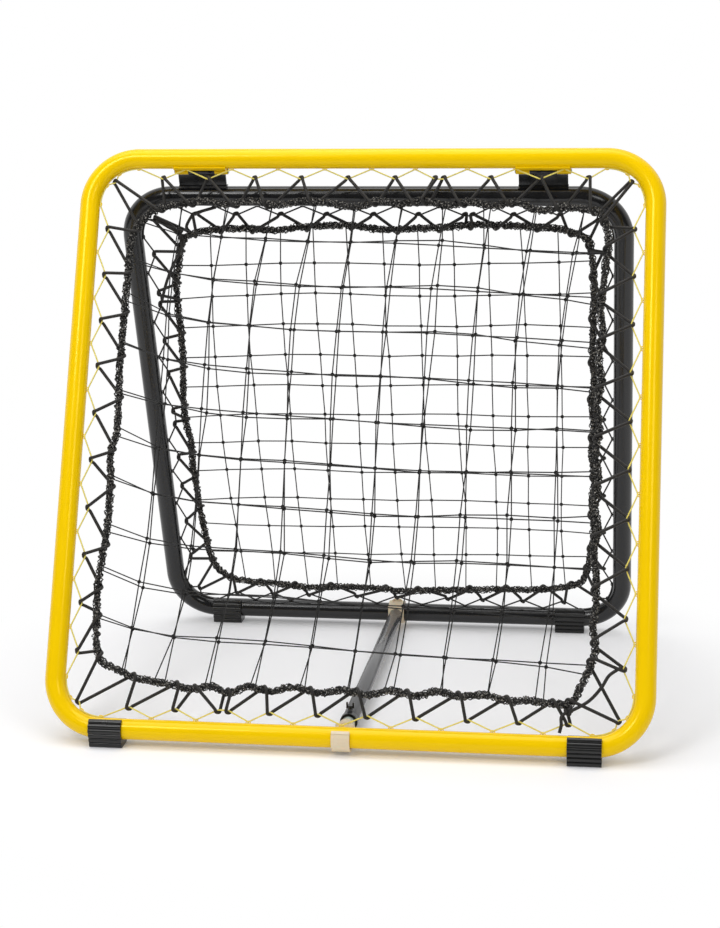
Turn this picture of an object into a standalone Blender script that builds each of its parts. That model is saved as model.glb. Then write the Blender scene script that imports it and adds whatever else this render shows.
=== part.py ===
"""A folding multisport rebounder: two round-cornered tube frames hinged along their top tubes.

Each frame carries a knotted net, strung inside it on a border rope, an elastic cord and a lace.
A stay bar across the floor holds the frames apart. It pivots on the rear tube and hooks under
the front tube. Metres, +Z up, X along the tubes, the front frame at -Y, the floor at z = 0.
"""

import math

import bmesh
import bpy
from mathutils import Matrix, Vector

# Clearances
FIT_GAP = 0.0003
PIN_GAP = 0.0003
SWING_GAP = 0.0005
CORD_GAP = 0.0006
HOOK_GAP = 0.0010

# Frame tubes, measured on their centre lines. The stay sets how far apart the bottom ones stand.
TUBE_RADIUS = 0.0127
TUBE_WALL = 0.0015
DRAIN_RADIUS = 0.0025
FRONT_WIDTH = 0.720
FRONT_HEIGHT = 0.728
FRONT_CORNER = 0.061
BACK_WIDTH = 0.640
BACK_HEIGHT = 0.648
BACK_CORNER = 0.058
SPREAD = 0.512

# Hinges across the top tubes, measured from each top tube's centre in its own frame's plane
HINGE_DROP = 0.0129
HINGE_SETBACK = 0.0110
HINGE_RISE = 0.0343
HINGE_INSET = 0.101
HINGE_LENGTH = 0.069
KNUCKLE_RADIUS = 0.0040
KNUCKLE_MIDDLE = 0.034
PIN_RADIUS = 0.0021
PIN_HEAD_RADIUS = 0.0030
PIN_HEAD_HEIGHT = 0.0010
PIN_HEAD_FACE = 0.0018
PIN_HEAD_EDGE = 0.0005
LEAF_WIDTH = 0.063
LEAF_THICKNESS = 0.0025
SADDLE_THICKNESS = 0.0022
SADDLE_HALF_ANGLE = math.radians(26.0)
SADDLE_SPAN = math.radians(61.0)
SADDLE_PAST_PIN = math.radians(4.0)

# Ribbed feet clipped on the bottom tubes
FOOT_SOLE = 0.0080
FOOT_WIDTH = 0.041
FOOT_WALL = 0.0034
FOOT_MOUTH = math.radians(50.0)
FOOT_RIBS = 6
FOOT_RIB_DEPTH = 0.0011
FOOT_BASE_HALF = 0.0125
FRONT_FOOT_INSET = 0.070
BACK_FOOT_INSET = 0.073

# Where a rib's flat crest and the groove below it start and end, as shares of the rib pitch
CREST_START = 0.16
CREST_END = 0.62
GROOVE_START = 0.78
GROOVE_END = 0.98

# Lace, zigzagging between the tube and the elastic cord
FRONT_LACE_RADIUS = 0.00075
BACK_LACE_RADIUS = 0.0010
LACE_INSET = 0.0255
LACE_CORNER_INSET = 0.0200
LACE_PITCH = 0.060
FRONT_LACE_PEAKS = 10
BACK_LACE_PEAKS = 9
LACE_FLAT = 0.0022
LACE_LEAF_REACH = 0.0405

# Elastic cord, hooked over each lace peak and wrapped round the border rope
BUNGEE_RADIUS = 0.00175
BUNGEE_WRAP = 0.62
BUNGEE_WRAP_HALF = 0.009
WRAP_STEP = math.radians(60.0)
WRAP_POINTS = 4

# Border rope inside each frame
ROPE_RADIUS = 0.0040
ROPE_WAVE = 0.0025
ROPE_SLACK = 0.12
ROPE_CORNER = 0.045
FRONT_ROPE_LEFT = 0.055
FRONT_ROPE_RIGHT = 0.063
FRONT_ROPE_BOTTOM = 0.056
FRONT_ROPE_TOP = 0.060
BACK_ROPE_LEFT = 0.046
BACK_ROPE_RIGHT = 0.040
BACK_ROPE_BOTTOM = 0.041
BACK_ROPE_TOP = 0.045

# Nets of crossing cords. A margin is the first cord's distance from the net's edge.
NET_CORD = 0.0012
FRONT_NET_CORDS = 10
FRONT_NET_MARGIN_X = 0.0421
FRONT_NET_MARGIN_Y = 0.0426
FRONT_NET_LEAN = 0.057
FRONT_NET_SLOPE = -0.046
FRONT_NET_SHIFT = -0.003
BACK_NET_CORDS = 11
BACK_NET_MARGIN_X = 0.0397
BACK_NET_MARGIN_Y = 0.0462
BACK_NET_LEAN = 0.0
BACK_NET_SLOPE = 0.008
BACK_NET_SHIFT = 0.004

# Stay bar on the floor side, along Y between the bottom tubes
STAY_RADIUS = 0.0095
STAY_WALL = 0.0011
STAY_END_SETBACK = 0.055
STAY_INNER_RADIUS = 0.0080
STAY_INNER_WALL = 0.0010
STAY_OVERLAP = 0.080
COLLAR_LENGTH = 0.009
COLLAR_WALL = 0.0012
COLLAR_FLANGE = 0.0022
LOCK_SETBACK = 0.013
LOCK_SHAFT_RADIUS = 0.0020
LOCK_BOSS_RADIUS = 0.0042
LOCK_BOSS_HEIGHT = 0.0025
LOCK_HUB_RADIUS = 0.0030
LOCK_HUB_HEIGHT = 0.0030
LOCK_WING_SPAN = 0.0100
LOCK_WING_HEIGHT = 0.0075
LOCK_WING_THICKNESS = 0.0022
LOCK_WING_BASE = 0.0006
LOCK_NOTCH_HALF = 0.0028
LOCK_NOTCH_FLOOR = 0.0036

# Moulded ring on the rear tube, at one end of the stay
CLIP_WIDTH = 0.022
CLIP_WALL = 0.0032
CLIP_FACE = 0.0175
CLIP_FACE_HALF = 0.0115
CLIP_GROOVE = 0.0009
CLIP_ARC_TOP = math.radians(115.0)
CLIP_ARC_BOTTOM = math.radians(-125.0)
CLIP_TAB_TOP = 0.0195
CLIP_TAB_WIDTH = 0.0167
CLIP_TAB_CORNER = 0.0058
CLIP_TAB_THICKNESS = 0.0030
CLIP_SPIGOT = 0.022

# Moulded hook under the front tube. Angles are from the level line through the tube's centre.
HOOK_WALL = 0.0035
HOOK_LIP = math.radians(46.0)
HOOK_GROOVE = math.radians(31.0)
HOOK_GROOVE_HALF = math.radians(2.5)
HOOK_GROOVE_DEPTH = 0.0008
HOOK_EXIT = math.radians(31.0)
HOOK_UNDERSIDE = math.radians(50.0)
HOOK_BACK_WALL = 0.0050
HOOK_SOCKET = 0.014
HOOK_SOCKET_WALL = 0.0021
HOOK_TOP = 0.0085

# Facets: a curve's bevel resolutions, the sides of rods and bores, and the steps of arcs
TUBE_RESOLUTION = 6
BORE_RESOLUTION = 3
CLIP_SIDES = 24
STAY_SIDES = 20
KNUCKLE_SIDES = 18
PIN_BORE_SIDES = 16
SCREW_SIDES = 14
SHAFT_SIDES = 12
DRAIN_SIDES = 8
CORNER_STEPS = 6
ARC_STEP = math.radians(15.0)
SMOOTH_ANGLE = math.radians(40.0)
TUBE_SMOOTH_ANGLE = math.radians(50.0)
PLATE_SMOOTH_ANGLE = math.radians(32.0)

YELLOW = (0.83, 0.56, 0.0, 1.0)
SATIN_BLACK = (0.035, 0.035, 0.037, 1.0)
RUBBER_BLACK = (0.018, 0.018, 0.019, 1.0)
CORD_BLACK = (0.022, 0.020, 0.019, 1.0)
STAY_GREY = (0.10, 0.10, 0.105, 1.0)
ZINC = (0.62, 0.63, 0.60, 1.0)
CREAM = (0.75, 0.68, 0.55, 1.0)


def clear_scene():
    for item in list(bpy.data.objects):
        bpy.data.objects.remove(item, do_unlink=True)


def new_collection(name):
    collection = bpy.data.collections.new(name)
    bpy.context.scene.collection.children.link(collection)
    return collection


def make_material(name, colour, roughness, metallic=0.0):
    made = bpy.data.materials.new(name)
    made.use_nodes = True
    shader = made.node_tree.nodes["Principled BSDF"]
    shader.inputs["Base Color"].default_value = colour
    shader.inputs["Roughness"].default_value = roughness
    shader.inputs["Metallic"].default_value = metallic
    return made


def make_empty(name, location, rotation_x, parent=None):
    empty = bpy.data.objects.new(name, None)
    empty.empty_display_size = 0.05
    empty.location = location
    empty.rotation_euler = (rotation_x, 0.0, 0.0)
    empty.parent = parent
    PARTS.objects.link(empty)
    return empty


def add_part(name, mesh, material, parent, location=(0.0, 0.0, 0.0)):
    part = bpy.data.objects.new(name, mesh)
    mesh.materials.clear()
    mesh.materials.append(material)
    part.parent = parent
    part.location = location
    PARTS.objects.link(part)
    return part


def add_cutter(name, mesh, parent, location=(0.0, 0.0, 0.0)):
    cutter = bpy.data.objects.new(name, mesh)
    cutter.parent = parent
    cutter.location = location
    cutter.hide_render = True
    cutter.display_type = "WIRE"
    CUTTERS.objects.link(cutter)
    return cutter


def add_boolean(part, other, operation):
    modifier = part.modifiers.new(operation.title() + " " + other.name, "BOOLEAN")
    modifier.object = other
    modifier.operation = operation
    modifier.solver = "EXACT"


def smooth(mesh, angle=SMOOTH_ANGLE):
    mesh.shade_smooth()
    mesh.set_sharp_from_angle(angle=angle)


# Curves that become meshes


def mesh_of_curve(curve):
    """The curve's mesh with its caps welded on, and the curve removed."""
    holder = bpy.data.objects.new(curve.name, curve)
    bpy.context.scene.collection.objects.link(holder)
    bpy.context.view_layer.update()
    graph = bpy.context.evaluated_depsgraph_get()
    mesh = bpy.data.meshes.new_from_object(holder.evaluated_get(graph))
    mesh.name = curve.name
    bpy.data.objects.remove(holder)
    bpy.data.curves.remove(curve)
    work = bmesh.new()
    work.from_mesh(mesh)
    bmesh.ops.remove_doubles(work, verts=work.verts, dist=0.000001)
    bmesh.ops.recalc_face_normals(work, faces=work.faces)
    work.to_mesh(mesh)
    work.free()
    return mesh


def tube_mesh(name, points, radius, resolution, closed):
    """A round tube along straight runs between points. It has 4 + 2 x resolution sides."""
    curve = bpy.data.curves.new(name, "CURVE")
    curve.dimensions = "3D"
    curve.bevel_depth = radius
    curve.bevel_resolution = resolution
    curve.use_fill_caps = not closed
    spline = curve.splines.new("POLY")
    spline.points.add(len(points) - 1)
    for target, point in zip(spline.points, points):
        target.co = (*point, 1.0)
    spline.use_cyclic_u = closed
    mesh = mesh_of_curve(curve)
    smooth(mesh, TUBE_SMOOTH_ANGLE)
    return mesh


def plate_mesh(name, outlines, width):
    """Flat outlines in (Y, Z), the first filled and the others holes, extruded along X."""
    curve = bpy.data.curves.new(name, "CURVE")
    curve.dimensions = "2D"
    curve.fill_mode = "BOTH"
    curve.extrude = width / 2
    for outline in outlines:
        spline = curve.splines.new("POLY")
        spline.points.add(len(outline) - 1)
        for target, point in zip(spline.points, outline):
            target.co = (point[0], point[1], 0.0, 1.0)
        spline.use_cyclic_u = True
    mesh = mesh_of_curve(curve)
    mesh.transform(Matrix(((0, 0, 1, 0), (1, 0, 0, 0), (0, 1, 0, 0), (0, 0, 0, 1))))
    smooth(mesh, PLATE_SMOOTH_ANGLE)
    return mesh


def rod_mesh(name, radius, length, sides, axis="X"):
    """A closed cylinder centred on the origin along X, Y or Z."""
    work = bmesh.new()
    bmesh.ops.create_cone(
        work, cap_ends=True, segments=sides, radius1=radius, radius2=radius, depth=length
    )
    turn = {"X": ("Y", math.pi / 2), "Y": ("X", math.pi / 2), "Z": ("Z", 0.0)}[axis]
    bmesh.ops.rotate(work, verts=work.verts, matrix=Matrix.Rotation(turn[1], 3, turn[0]))
    mesh = bpy.data.meshes.new(name)
    work.to_mesh(mesh)
    work.free()
    smooth(mesh)
    return mesh


def turned_mesh(name, profile, steps):
    """A ring turned about Y from a closed profile of (radius, along) points."""
    work = bmesh.new()
    corners = [work.verts.new((radius, along, 0.0)) for radius, along in profile]
    edges = [work.edges.new((corners[i - 1], corners[i])) for i in range(len(corners))]
    bmesh.ops.spin(
        work,
        geom=corners + edges,
        cent=(0, 0, 0),
        axis=(0, 1, 0),
        angle=2 * math.pi,
        steps=steps,
        use_merge=True,
    )
    bmesh.ops.remove_doubles(work, verts=work.verts, dist=0.00001)
    bmesh.ops.recalc_face_normals(work, faces=work.faces)
    mesh = bpy.data.meshes.new(name)
    work.to_mesh(mesh)
    work.free()
    smooth(mesh)
    return mesh


def box_mesh(name, size, centre=(0.0, 0.0, 0.0)):
    work = bmesh.new()
    bmesh.ops.create_cube(work, size=1.0)
    bmesh.ops.scale(work, verts=work.verts, vec=size)
    bmesh.ops.translate(work, verts=work.verts, vec=centre)
    mesh = bpy.data.meshes.new(name)
    work.to_mesh(mesh)
    work.free()
    return mesh


# Plane geometry


def arc_points(radius, start, end, centre=(0.0, 0.0), steps=None):
    """Points along an arc, both ends included."""
    count = steps or max(2, math.ceil(abs(end - start) / ARC_STEP))
    angles = [start + (end - start) * k / count for k in range(count + 1)]
    return [(centre[0] + radius * math.cos(a), centre[1] + radius * math.sin(a)) for a in angles]


def circle_points(radius, steps):
    return arc_points(radius, 0.0, 2 * math.pi * (steps - 1) / steps, steps=steps - 1)


def round_rectangle(width, height, radius, steps):
    """Corner arcs of a rectangle that stands on y = 0, anticlockwise from the bottom left."""
    half = width / 2 - radius
    low = radius
    high = height - radius
    centres = [(-half, low), (half, low), (half, high), (-half, high)]
    points = []
    for turn, centre in enumerate(centres):
        start = math.pi + turn * math.pi / 2
        points += arc_points(radius, start, start + math.pi / 2, centre, steps)
    return points


def nearest_on_box(point, box, radius):
    """The nearest point of a round-cornered box outline, and the outward direction there."""
    left, right, low, high = box
    core = Vector(
        (
            min(max(point.x, left + radius), right - radius),
            min(max(point.y, low + radius), high - radius),
        )
    )
    away = point - core
    if away.length < 1e-9:
        away = Vector((0.0, -1.0))
    away.normalize()
    return core + away * radius, away


def wrap_radius():
    """How far the elastic cord's corners lie from the rope's centre as it goes round in steps."""
    return (ROPE_RADIUS + BUNGEE_RADIUS + CORD_GAP) / math.cos(WRAP_STEP / 2)


class Stringing:
    """Where one frame's lace, elastic cord, rope and net lie, in the frame's own plane."""

    def __init__(self, width, height, corner, peaks, rope_insets, leaf_x=None):
        self.width = width
        self.height = height
        self.corner = corner
        self.peaks = peaks
        self.leaf_x = leaf_x
        left, right, low, high = rope_insets
        self.rope_box = (left - width / 2, width / 2 - right, low, height - high)
        self.stations = self.find_stations()
        self.wraps = []
        self.rope = self.find_rope()

    def find_stations(self):
        """(tip, valley after it, inward direction) for each lace peak, anticlockwise."""
        middles = [
            Vector((0.0, 0.0)),
            Vector((self.width / 2, self.height / 2)),
            Vector((0.0, self.height)),
            Vector((-self.width / 2, self.height / 2)),
        ]
        along = [Vector((1, 0)), Vector((0, 1)), Vector((-1, 0)), Vector((0, -1))]
        inward = [Vector((0, 1)), Vector((-1, 0)), Vector((0, -1)), Vector((1, 0))]
        half = self.width / 2 - self.corner
        high = self.height - self.corner
        arc_centres = [
            Vector((half, self.corner)),
            Vector((half, high)),
            Vector((-half, high)),
            Vector((-half, self.corner)),
        ]
        found = []
        for side in range(4):
            reach = (self.peaks - 1) / 2
            for k in range(self.peaks):
                offset = (k - reach) * LACE_PITCH
                foot = middles[side] + along[side] * offset
                tip = foot + inward[side] * LACE_INSET
                valley = foot + along[side] * (LACE_PITCH / 2)
                found.append((tip, valley, inward[side], along[side]))
            diagonal = (inward[side] + inward[(side + 1) % 4]).normalized()
            tip = arc_centres[side] - diagonal * (self.corner - LACE_CORNER_INSET)
            turn = (side + 1) % 4
            valley = middles[turn] - along[turn] * (reach + 0.5) * LACE_PITCH
            found.append((tip, valley, diagonal, along[turn]))
        return found

    def find_rope(self):
        """For each peak, the rope's point between peaks and the point the elastic cord wraps."""
        points = []
        count = len(self.stations)
        for k in range(count):
            here = self.stations[k][0]
            after = self.stations[(k + 1) % count][0]
            near = here.lerp(after, ROPE_SLACK)
            slack, away = nearest_on_box(near, self.rope_box, ROPE_CORNER)
            points.append(slack - away * ROPE_WAVE)
            near = here.lerp(after, BUNGEE_WRAP)
            taut, away = nearest_on_box(near, self.rope_box, ROPE_CORNER)
            points.append(taut + away * ROPE_WAVE)
            self.wraps.append((points[-1], -away))
        return points

    def over_leaf(self, valley):
        """True where the lace lies on a hinge leaf and not on the tube itself."""
        if self.leaf_x is None or valley.y < self.height / 2:
            return False
        return abs(abs(valley.x) - self.leaf_x) < LACE_LEAF_REACH

    def lace_path(self, radius):
        """From each peak to the tube's inner side and back, flat on it for a short way."""
        path = []
        for tip, valley, inward, along in self.stations:
            path.append((tip.x, tip.y, 0.0))
            inset = TUBE_RADIUS + CORD_GAP + FIT_GAP + radius
            if self.over_leaf(valley):
                inset += SADDLE_THICKNESS + FIT_GAP
            half = self.width / 2 - inset
            box = (-half, half, inset, self.height - inset)
            for side in (-1, 1):
                near = valley + along * (side * LACE_FLAT)
                seat = nearest_on_box(near, box, self.corner - inset)[0]
                path.append((seat.x, seat.y, 0.0))
        return path

    def bungee_path(self, lace_radius, outer):
        """Over the lace at each peak, down to the rope, once round it, and on to the next peak.

        outer is +1 or -1, the side of the plane on which the cord comes to each peak."""
        cross = outer * (lace_radius + BUNGEE_RADIUS + CORD_GAP)
        behind = lace_radius + BUNGEE_RADIUS + CORD_GAP
        path = []
        count = len(self.stations)
        for k in range(count):
            tip, valley, inward, along = self.stations[k]
            nose = tip - inward * behind
            path.append((tip.x, tip.y, cross))
            path.append((nose.x, nose.y, cross / 2))
            path.append((nose.x, nose.y, -cross / 2))
            path.append((tip.x, tip.y, -cross))
            wrap, inside = self.wraps[k]
            before = (self.rope[2 * k] - wrap).normalized()
            later = (self.rope[(2 * k + 2) % (2 * count)] - wrap).normalized()
            last = (WRAP_POINTS - 1) / 2
            for point in range(WRAP_POINTS):
                step = point - last
                angle = step * WRAP_STEP
                run = (before if step < 0 else later) * (BUNGEE_WRAP_HALF * abs(step) / last)
                spot = wrap + run + inside * (wrap_radius() * math.cos(angle))
                path.append((spot.x, spot.y, outer * wrap_radius() * math.sin(angle)))
        return path

    def net_grid(self, cords, margin_x, margin_y, lean, slope, shift):
        """Knot positions by column and row, with the outer ones beside the border rope."""
        left, right, low, high = self.rope_box
        wrapped = wrap_radius() + BUNGEE_RADIUS - ROPE_WAVE
        edge = max(ROPE_RADIUS + ROPE_WAVE, wrapped) + NET_CORD / 2 + CORD_GAP
        box = (left + edge, right - edge, low + edge, high - edge)
        pitch_x = (box[1] - box[0] - 2 * margin_x) / (cords - 1)
        pitch_y = (box[3] - box[2] - 2 * margin_y) / (cords - 1)
        corner = ROPE_CORNER - edge
        middle = (low + high) / 2
        grid = {}
        for i in range(cords + 2):
            for j in range(cords + 2):
                across = shift + (i - (cords + 1) / 2) * pitch_x
                up = middle + (j - (cords + 1) / 2) * pitch_y
                spot = Vector((across + lean * (up - middle), up + slope * across * j / cords))
                if i in (0, cords + 1) or j in (0, cords + 1):
                    spot = self.edge_spot(spot, i, j, cords + 1, box, corner)
                grid[i, j] = spot
        return grid

    def edge_spot(self, spot, i, j, last, box, corner):
        """The point on the net's edge that a cord runs out to."""
        left, right, low, high = box
        if i in (0, last) and j in (0, last):
            outside = Vector((right if i else left, high if j else low))
            return nearest_on_box(outside, box, corner)[0]
        if j in (0, last):
            target = Vector((min(max(spot.x, left), right), high if j else low))
        else:
            target = Vector((right if i else left, min(max(spot.y, low), high)))
        return nearest_on_box(target, box, corner)[0]


def net_mesh(name, grid, last):
    """A flat sheet whose edges are the cords. The Wireframe modifier makes them solid."""
    work = bmesh.new()
    bmesh.ops.create_grid(work, x_segments=last, y_segments=last, size=last / 2)
    for vert in work.verts:
        spot = grid[round(vert.co.x + last / 2), round(vert.co.y + last / 2)]
        vert.co = (spot.x, spot.y, 0.0)
    mesh = bpy.data.meshes.new(name)
    work.to_mesh(mesh)
    work.free()
    return mesh


# Sub-parts


def make_frame_tube(name, width, height, corner, material, parent):
    """A closed ring of welded tube, hollow, with a drain hole under its bottom run."""
    outer = round_rectangle(width, height, corner, CORNER_STEPS)
    path = [(x, y, 0.0) for x, y in outer]
    mesh = tube_mesh(name, path, TUBE_RADIUS, TUBE_RESOLUTION, True)
    tube = add_part(name, mesh, material, parent)
    bore = tube_mesh(name + "_bore", path, TUBE_RADIUS - TUBE_WALL, BORE_RESOLUTION, True)
    drain = rod_mesh(name + "_drain", DRAIN_RADIUS, TUBE_RADIUS, DRAIN_SIDES, "Y")
    add_boolean(tube, add_cutter(bore.name, bore, parent), "DIFFERENCE")
    spot = (0.0, -TUBE_RADIUS, 0.0)
    add_boolean(tube, add_cutter(drain.name, drain, parent, spot), "DIFFERENCE")


def foot_wall(height):
    """Half the foot's depth at a height from the tube's centre, before the ribs."""
    radius = TUBE_RADIUS + FOOT_WALL
    return math.sqrt(radius**2 - height**2) if height > 0 else radius


def foot_outline():
    """A C open at the top, with ribs down its two walls and a flat sole."""
    inner_radius = TUBE_RADIUS - TUBE_WALL
    lip_outer = (TUBE_RADIUS + FOOT_WALL) * math.cos(FOOT_MOUTH)
    sole = -(TUBE_RADIUS + FOOT_SOLE)
    pitch = (lip_outer - sole) / FOOT_RIBS
    crest = [(CREST_START, FOOT_RIB_DEPTH), (CREST_END, FOOT_RIB_DEPTH)]
    groove = [(GROOVE_START, 0.0), (GROOVE_END, 0.0)]
    wall = [(foot_wall(lip_outer), lip_outer)]
    for rib in range(FOOT_RIBS):
        last = rib == FOOT_RIBS - 1
        for share, depth in crest[:1] if last else crest + groove:
            height = lip_outer - (rib + share) * pitch
            wall.append((foot_wall(height) + depth, height))
    wall.append((FOOT_BASE_HALF, sole))
    front_side = [(-y, z) for y, z in reversed(wall)]
    start = math.pi / 2 + FOOT_MOUTH
    inner = arc_points(inner_radius, start, start + 2 * (math.pi - FOOT_MOUTH))
    return [*front_side, *inner, *wall]


def make_foot_bore(name, width, height, corner, parent):
    """The frame tube with a clearance, which shapes its feet where they reach round the bend."""
    path = [(x, y, 0.0) for x, y in round_rectangle(width, height, corner, CORNER_STEPS)]
    bore = tube_mesh(name, path, TUBE_RADIUS + FIT_GAP, TUBE_RESOLUTION, True)
    return add_cutter(name, bore, parent)


def make_foot(name, x, material, parent, turn, bore):
    """A rubber clip. turn stands its sole level under a frame that leans."""
    outline = [
        (y * math.cos(turn) - z * math.sin(turn), y * math.sin(turn) + z * math.cos(turn))
        for y, z in foot_outline()
    ]
    foot = add_part(name, plate_mesh(name, [outline], FOOT_WIDTH), material, parent, (x, 0, 0))
    add_boolean(foot, bore, "DIFFERENCE")


def saddle_outline(start, end):
    """A strip curved to sit on a frame tube."""
    low = TUBE_RADIUS + FIT_GAP
    return [
        *arc_points(low, start, end),
        *arc_points(low + SADDLE_THICKNESS, end, start),
    ]


def make_front_leaf(name, x, material, parent):
    """The saddle welded under the front top tube, with the two outer knuckles on it."""
    pin_angle = math.atan2(-HINGE_SETBACK, -HINGE_DROP)
    outline = saddle_outline(pin_angle - SADDLE_SPAN, pin_angle + SADDLE_PAST_PIN)
    width = HINGE_LENGTH - 2 * SWING_GAP
    leaf = add_part(
        name, plate_mesh(name, [outline], width), material, parent, (x, FRONT_HEIGHT, 0.0)
    )
    place = (x, FRONT_HEIGHT - HINGE_DROP, -HINGE_SETBACK)
    window = KNUCKLE_MIDDLE + 2 * FIT_GAP
    knuckle = rod_mesh(name + "_knuckle", KNUCKLE_RADIUS, HINGE_LENGTH, KNUCKLE_SIDES)
    room = rod_mesh(name + "_room", KNUCKLE_RADIUS + SWING_GAP, window, CLIP_SIDES)
    bore = rod_mesh(name + "_bore", PIN_RADIUS + PIN_GAP, 2 * HINGE_LENGTH, PIN_BORE_SIDES)
    add_boolean(leaf, add_cutter(knuckle.name, knuckle, parent, place), "UNION")
    add_boolean(leaf, add_cutter(room.name, room, parent, place), "DIFFERENCE")
    add_boolean(leaf, add_cutter(bore.name, bore, parent, place), "DIFFERENCE")


def make_back_leaf(name, x, material, parent):
    """The plate that stands on the rear top tube, with the middle knuckle at its upper edge."""
    outline = saddle_outline(-SADDLE_HALF_ANGLE, SADDLE_HALF_ANGLE)
    leaf = add_part(
        name, plate_mesh(name, [outline], LEAF_WIDTH), material, parent, (x, BACK_HEIGHT, 0.0)
    )
    low = TUBE_RADIUS + FIT_GAP + SADDLE_THICKNESS / 2
    plate_size = (LEAF_WIDTH - 2 * SWING_GAP, HINGE_RISE - low, LEAF_THICKNESS)
    plate = box_mesh(name + "_plate", plate_size, (0.0, (HINGE_RISE + low) / 2, 0.0))
    place = (x, BACK_HEIGHT + HINGE_RISE, 0.0)
    knuckle = rod_mesh(name + "_knuckle", KNUCKLE_RADIUS, KNUCKLE_MIDDLE, KNUCKLE_SIDES)
    bore = rod_mesh(name + "_bore", PIN_RADIUS + PIN_GAP, 2 * HINGE_LENGTH, PIN_BORE_SIDES)
    add_boolean(leaf, add_cutter(plate.name, plate, parent, (x, BACK_HEIGHT, 0.0)), "UNION")
    reach = HINGE_LENGTH - KNUCKLE_MIDDLE
    for side, word in ((-1, "left"), (1, "right")):
        room = rod_mesh(name + "_room_" + word, KNUCKLE_RADIUS + SWING_GAP, reach, CLIP_SIDES)
        middle = KNUCKLE_MIDDLE / 2 - FIT_GAP + reach / 2
        spot = (x + side * middle, *place[1:])
        add_boolean(leaf, add_cutter(room.name, room, parent, spot), "DIFFERENCE")
    add_boolean(leaf, add_cutter(knuckle.name, knuckle, parent, place), "UNION")
    add_boolean(leaf, add_cutter(bore.name, bore, parent, place), "DIFFERENCE")


def make_pin(name, x, material, parent):
    """A plain steel pin with a low head at each end, outside the outer knuckles."""
    place = (x, FRONT_HEIGHT - HINGE_DROP, -HINGE_SETBACK)
    inner = HINGE_LENGTH / 2 + FIT_GAP
    outer = inner + PIN_HEAD_HEIGHT
    profile = [
        (PIN_HEAD_FACE, -outer),
        (PIN_HEAD_RADIUS, -outer + PIN_HEAD_EDGE),
        (PIN_HEAD_RADIUS, -inner),
        (PIN_RADIUS, -inner),
        (PIN_RADIUS, inner),
        (PIN_HEAD_RADIUS, inner),
        (PIN_HEAD_RADIUS, outer - PIN_HEAD_EDGE),
        (PIN_HEAD_FACE, outer),
    ]
    add_part(name, turned_rod_mesh(name, profile, SHAFT_SIDES), material, parent, place)


def turned_rod_mesh(name, profile, steps):
    """A solid turned about X from an open profile of (radius, along) points, closed at both ends."""
    curve = [(0.0, profile[0][1]), *profile, (0.0, profile[-1][1])]
    work = bmesh.new()
    corners = [work.verts.new((along, radius, 0.0)) for radius, along in curve]
    edges = [work.edges.new(pair) for pair in zip(corners, corners[1:])]
    bmesh.ops.spin(
        work,
        geom=corners + edges,
        cent=(0, 0, 0),
        axis=(1, 0, 0),
        angle=2 * math.pi,
        steps=steps,
    )
    bmesh.ops.remove_doubles(work, verts=work.verts, dist=0.00001)
    bmesh.ops.recalc_face_normals(work, faces=work.faces)
    mesh = bpy.data.meshes.new(name)
    work.to_mesh(mesh)
    work.free()
    smooth(mesh)
    return mesh


def make_net(name, grid, cords, material, parent):
    net = add_part(name, net_mesh(name, grid, cords + 1), material, parent)
    wire = net.modifiers.new("Cords", "WIREFRAME")
    wire.thickness = NET_CORD
    wire.use_even_offset = False
    wire.use_boundary = True
    wire.use_replace = True


def rear_clip_outline():
    """The ring round the rear tube, with a flat face towards the stay and two grooves above it."""
    outer = TUBE_RADIUS + FIT_GAP + CLIP_WALL
    face = -CLIP_FACE
    step = CLIP_GROOVE
    over_face = [
        (face, -CLIP_FACE_HALF),
        (face, CLIP_FACE_HALF - 2 * step),
        (face + step, CLIP_FACE_HALF - 2 * step),
        (face + step, CLIP_FACE_HALF - step),
        (face, CLIP_FACE_HALF - step),
        (face, CLIP_FACE_HALF + step),
        (face + step, CLIP_FACE_HALF + 2 * step),
        (face + 2 * step, CLIP_FACE_HALF + 2 * step),
    ]
    return [*over_face, *arc_points(outer, CLIP_ARC_TOP, CLIP_ARC_BOTTOM)]


def make_rear_clip(name, material, parent):
    """A moulded ring that turns on the rear bottom tube, with a spigot up the stay's end."""
    bore = circle_points(TUBE_RADIUS + FIT_GAP, CLIP_SIDES)
    mesh = plate_mesh(name, [rear_clip_outline(), bore], CLIP_WIDTH)
    clip = add_part(name, mesh, material, parent)
    half = CLIP_TAB_WIDTH / 2
    low = TUBE_RADIUS + FIT_GAP + CLIP_WALL / 2
    corner_x = half - CLIP_TAB_CORNER
    corner_z = CLIP_TAB_TOP - CLIP_TAB_CORNER
    tab_outline = [
        (-half, low),
        *arc_points(CLIP_TAB_CORNER, math.pi, math.pi / 2, (-corner_x, corner_z)),
        *arc_points(CLIP_TAB_CORNER, math.pi / 2, 0.0, (corner_x, corner_z)),
        (half, low),
    ]
    tab = plate_mesh(name + "_tab", [tab_outline], CLIP_TAB_THICKNESS)
    tab.transform(Matrix.Rotation(math.pi / 2, 4, "Z"))
    add_boolean(clip, add_cutter(tab.name, tab, parent), "UNION")
    start = TUBE_RADIUS + FIT_GAP + CLIP_WALL / 3
    length = CLIP_FACE - start + CLIP_SPIGOT
    spigot_radius = STAY_RADIUS - STAY_WALL - FIT_GAP
    spigot = rod_mesh(name + "_spigot", spigot_radius, length, STAY_SIDES, "Y")
    place = (0.0, -start - length / 2, 0.0)
    add_boolean(clip, add_cutter(spigot.name, spigot, parent, place), "UNION")


def hook_back():
    """The upper edge of the hook's rear wall, from the front tube's centre. The wall leans along
    the way that the tube leaves the hook."""
    bore = TUBE_RADIUS + HOOK_GAP
    start = (bore * math.cos(HOOK_EXIT), -bore * math.sin(HOOK_EXIT))
    return (start[0] + (HOOK_TOP - start[1]) * math.tan(HOOK_EXIT), HOOK_TOP)


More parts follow.
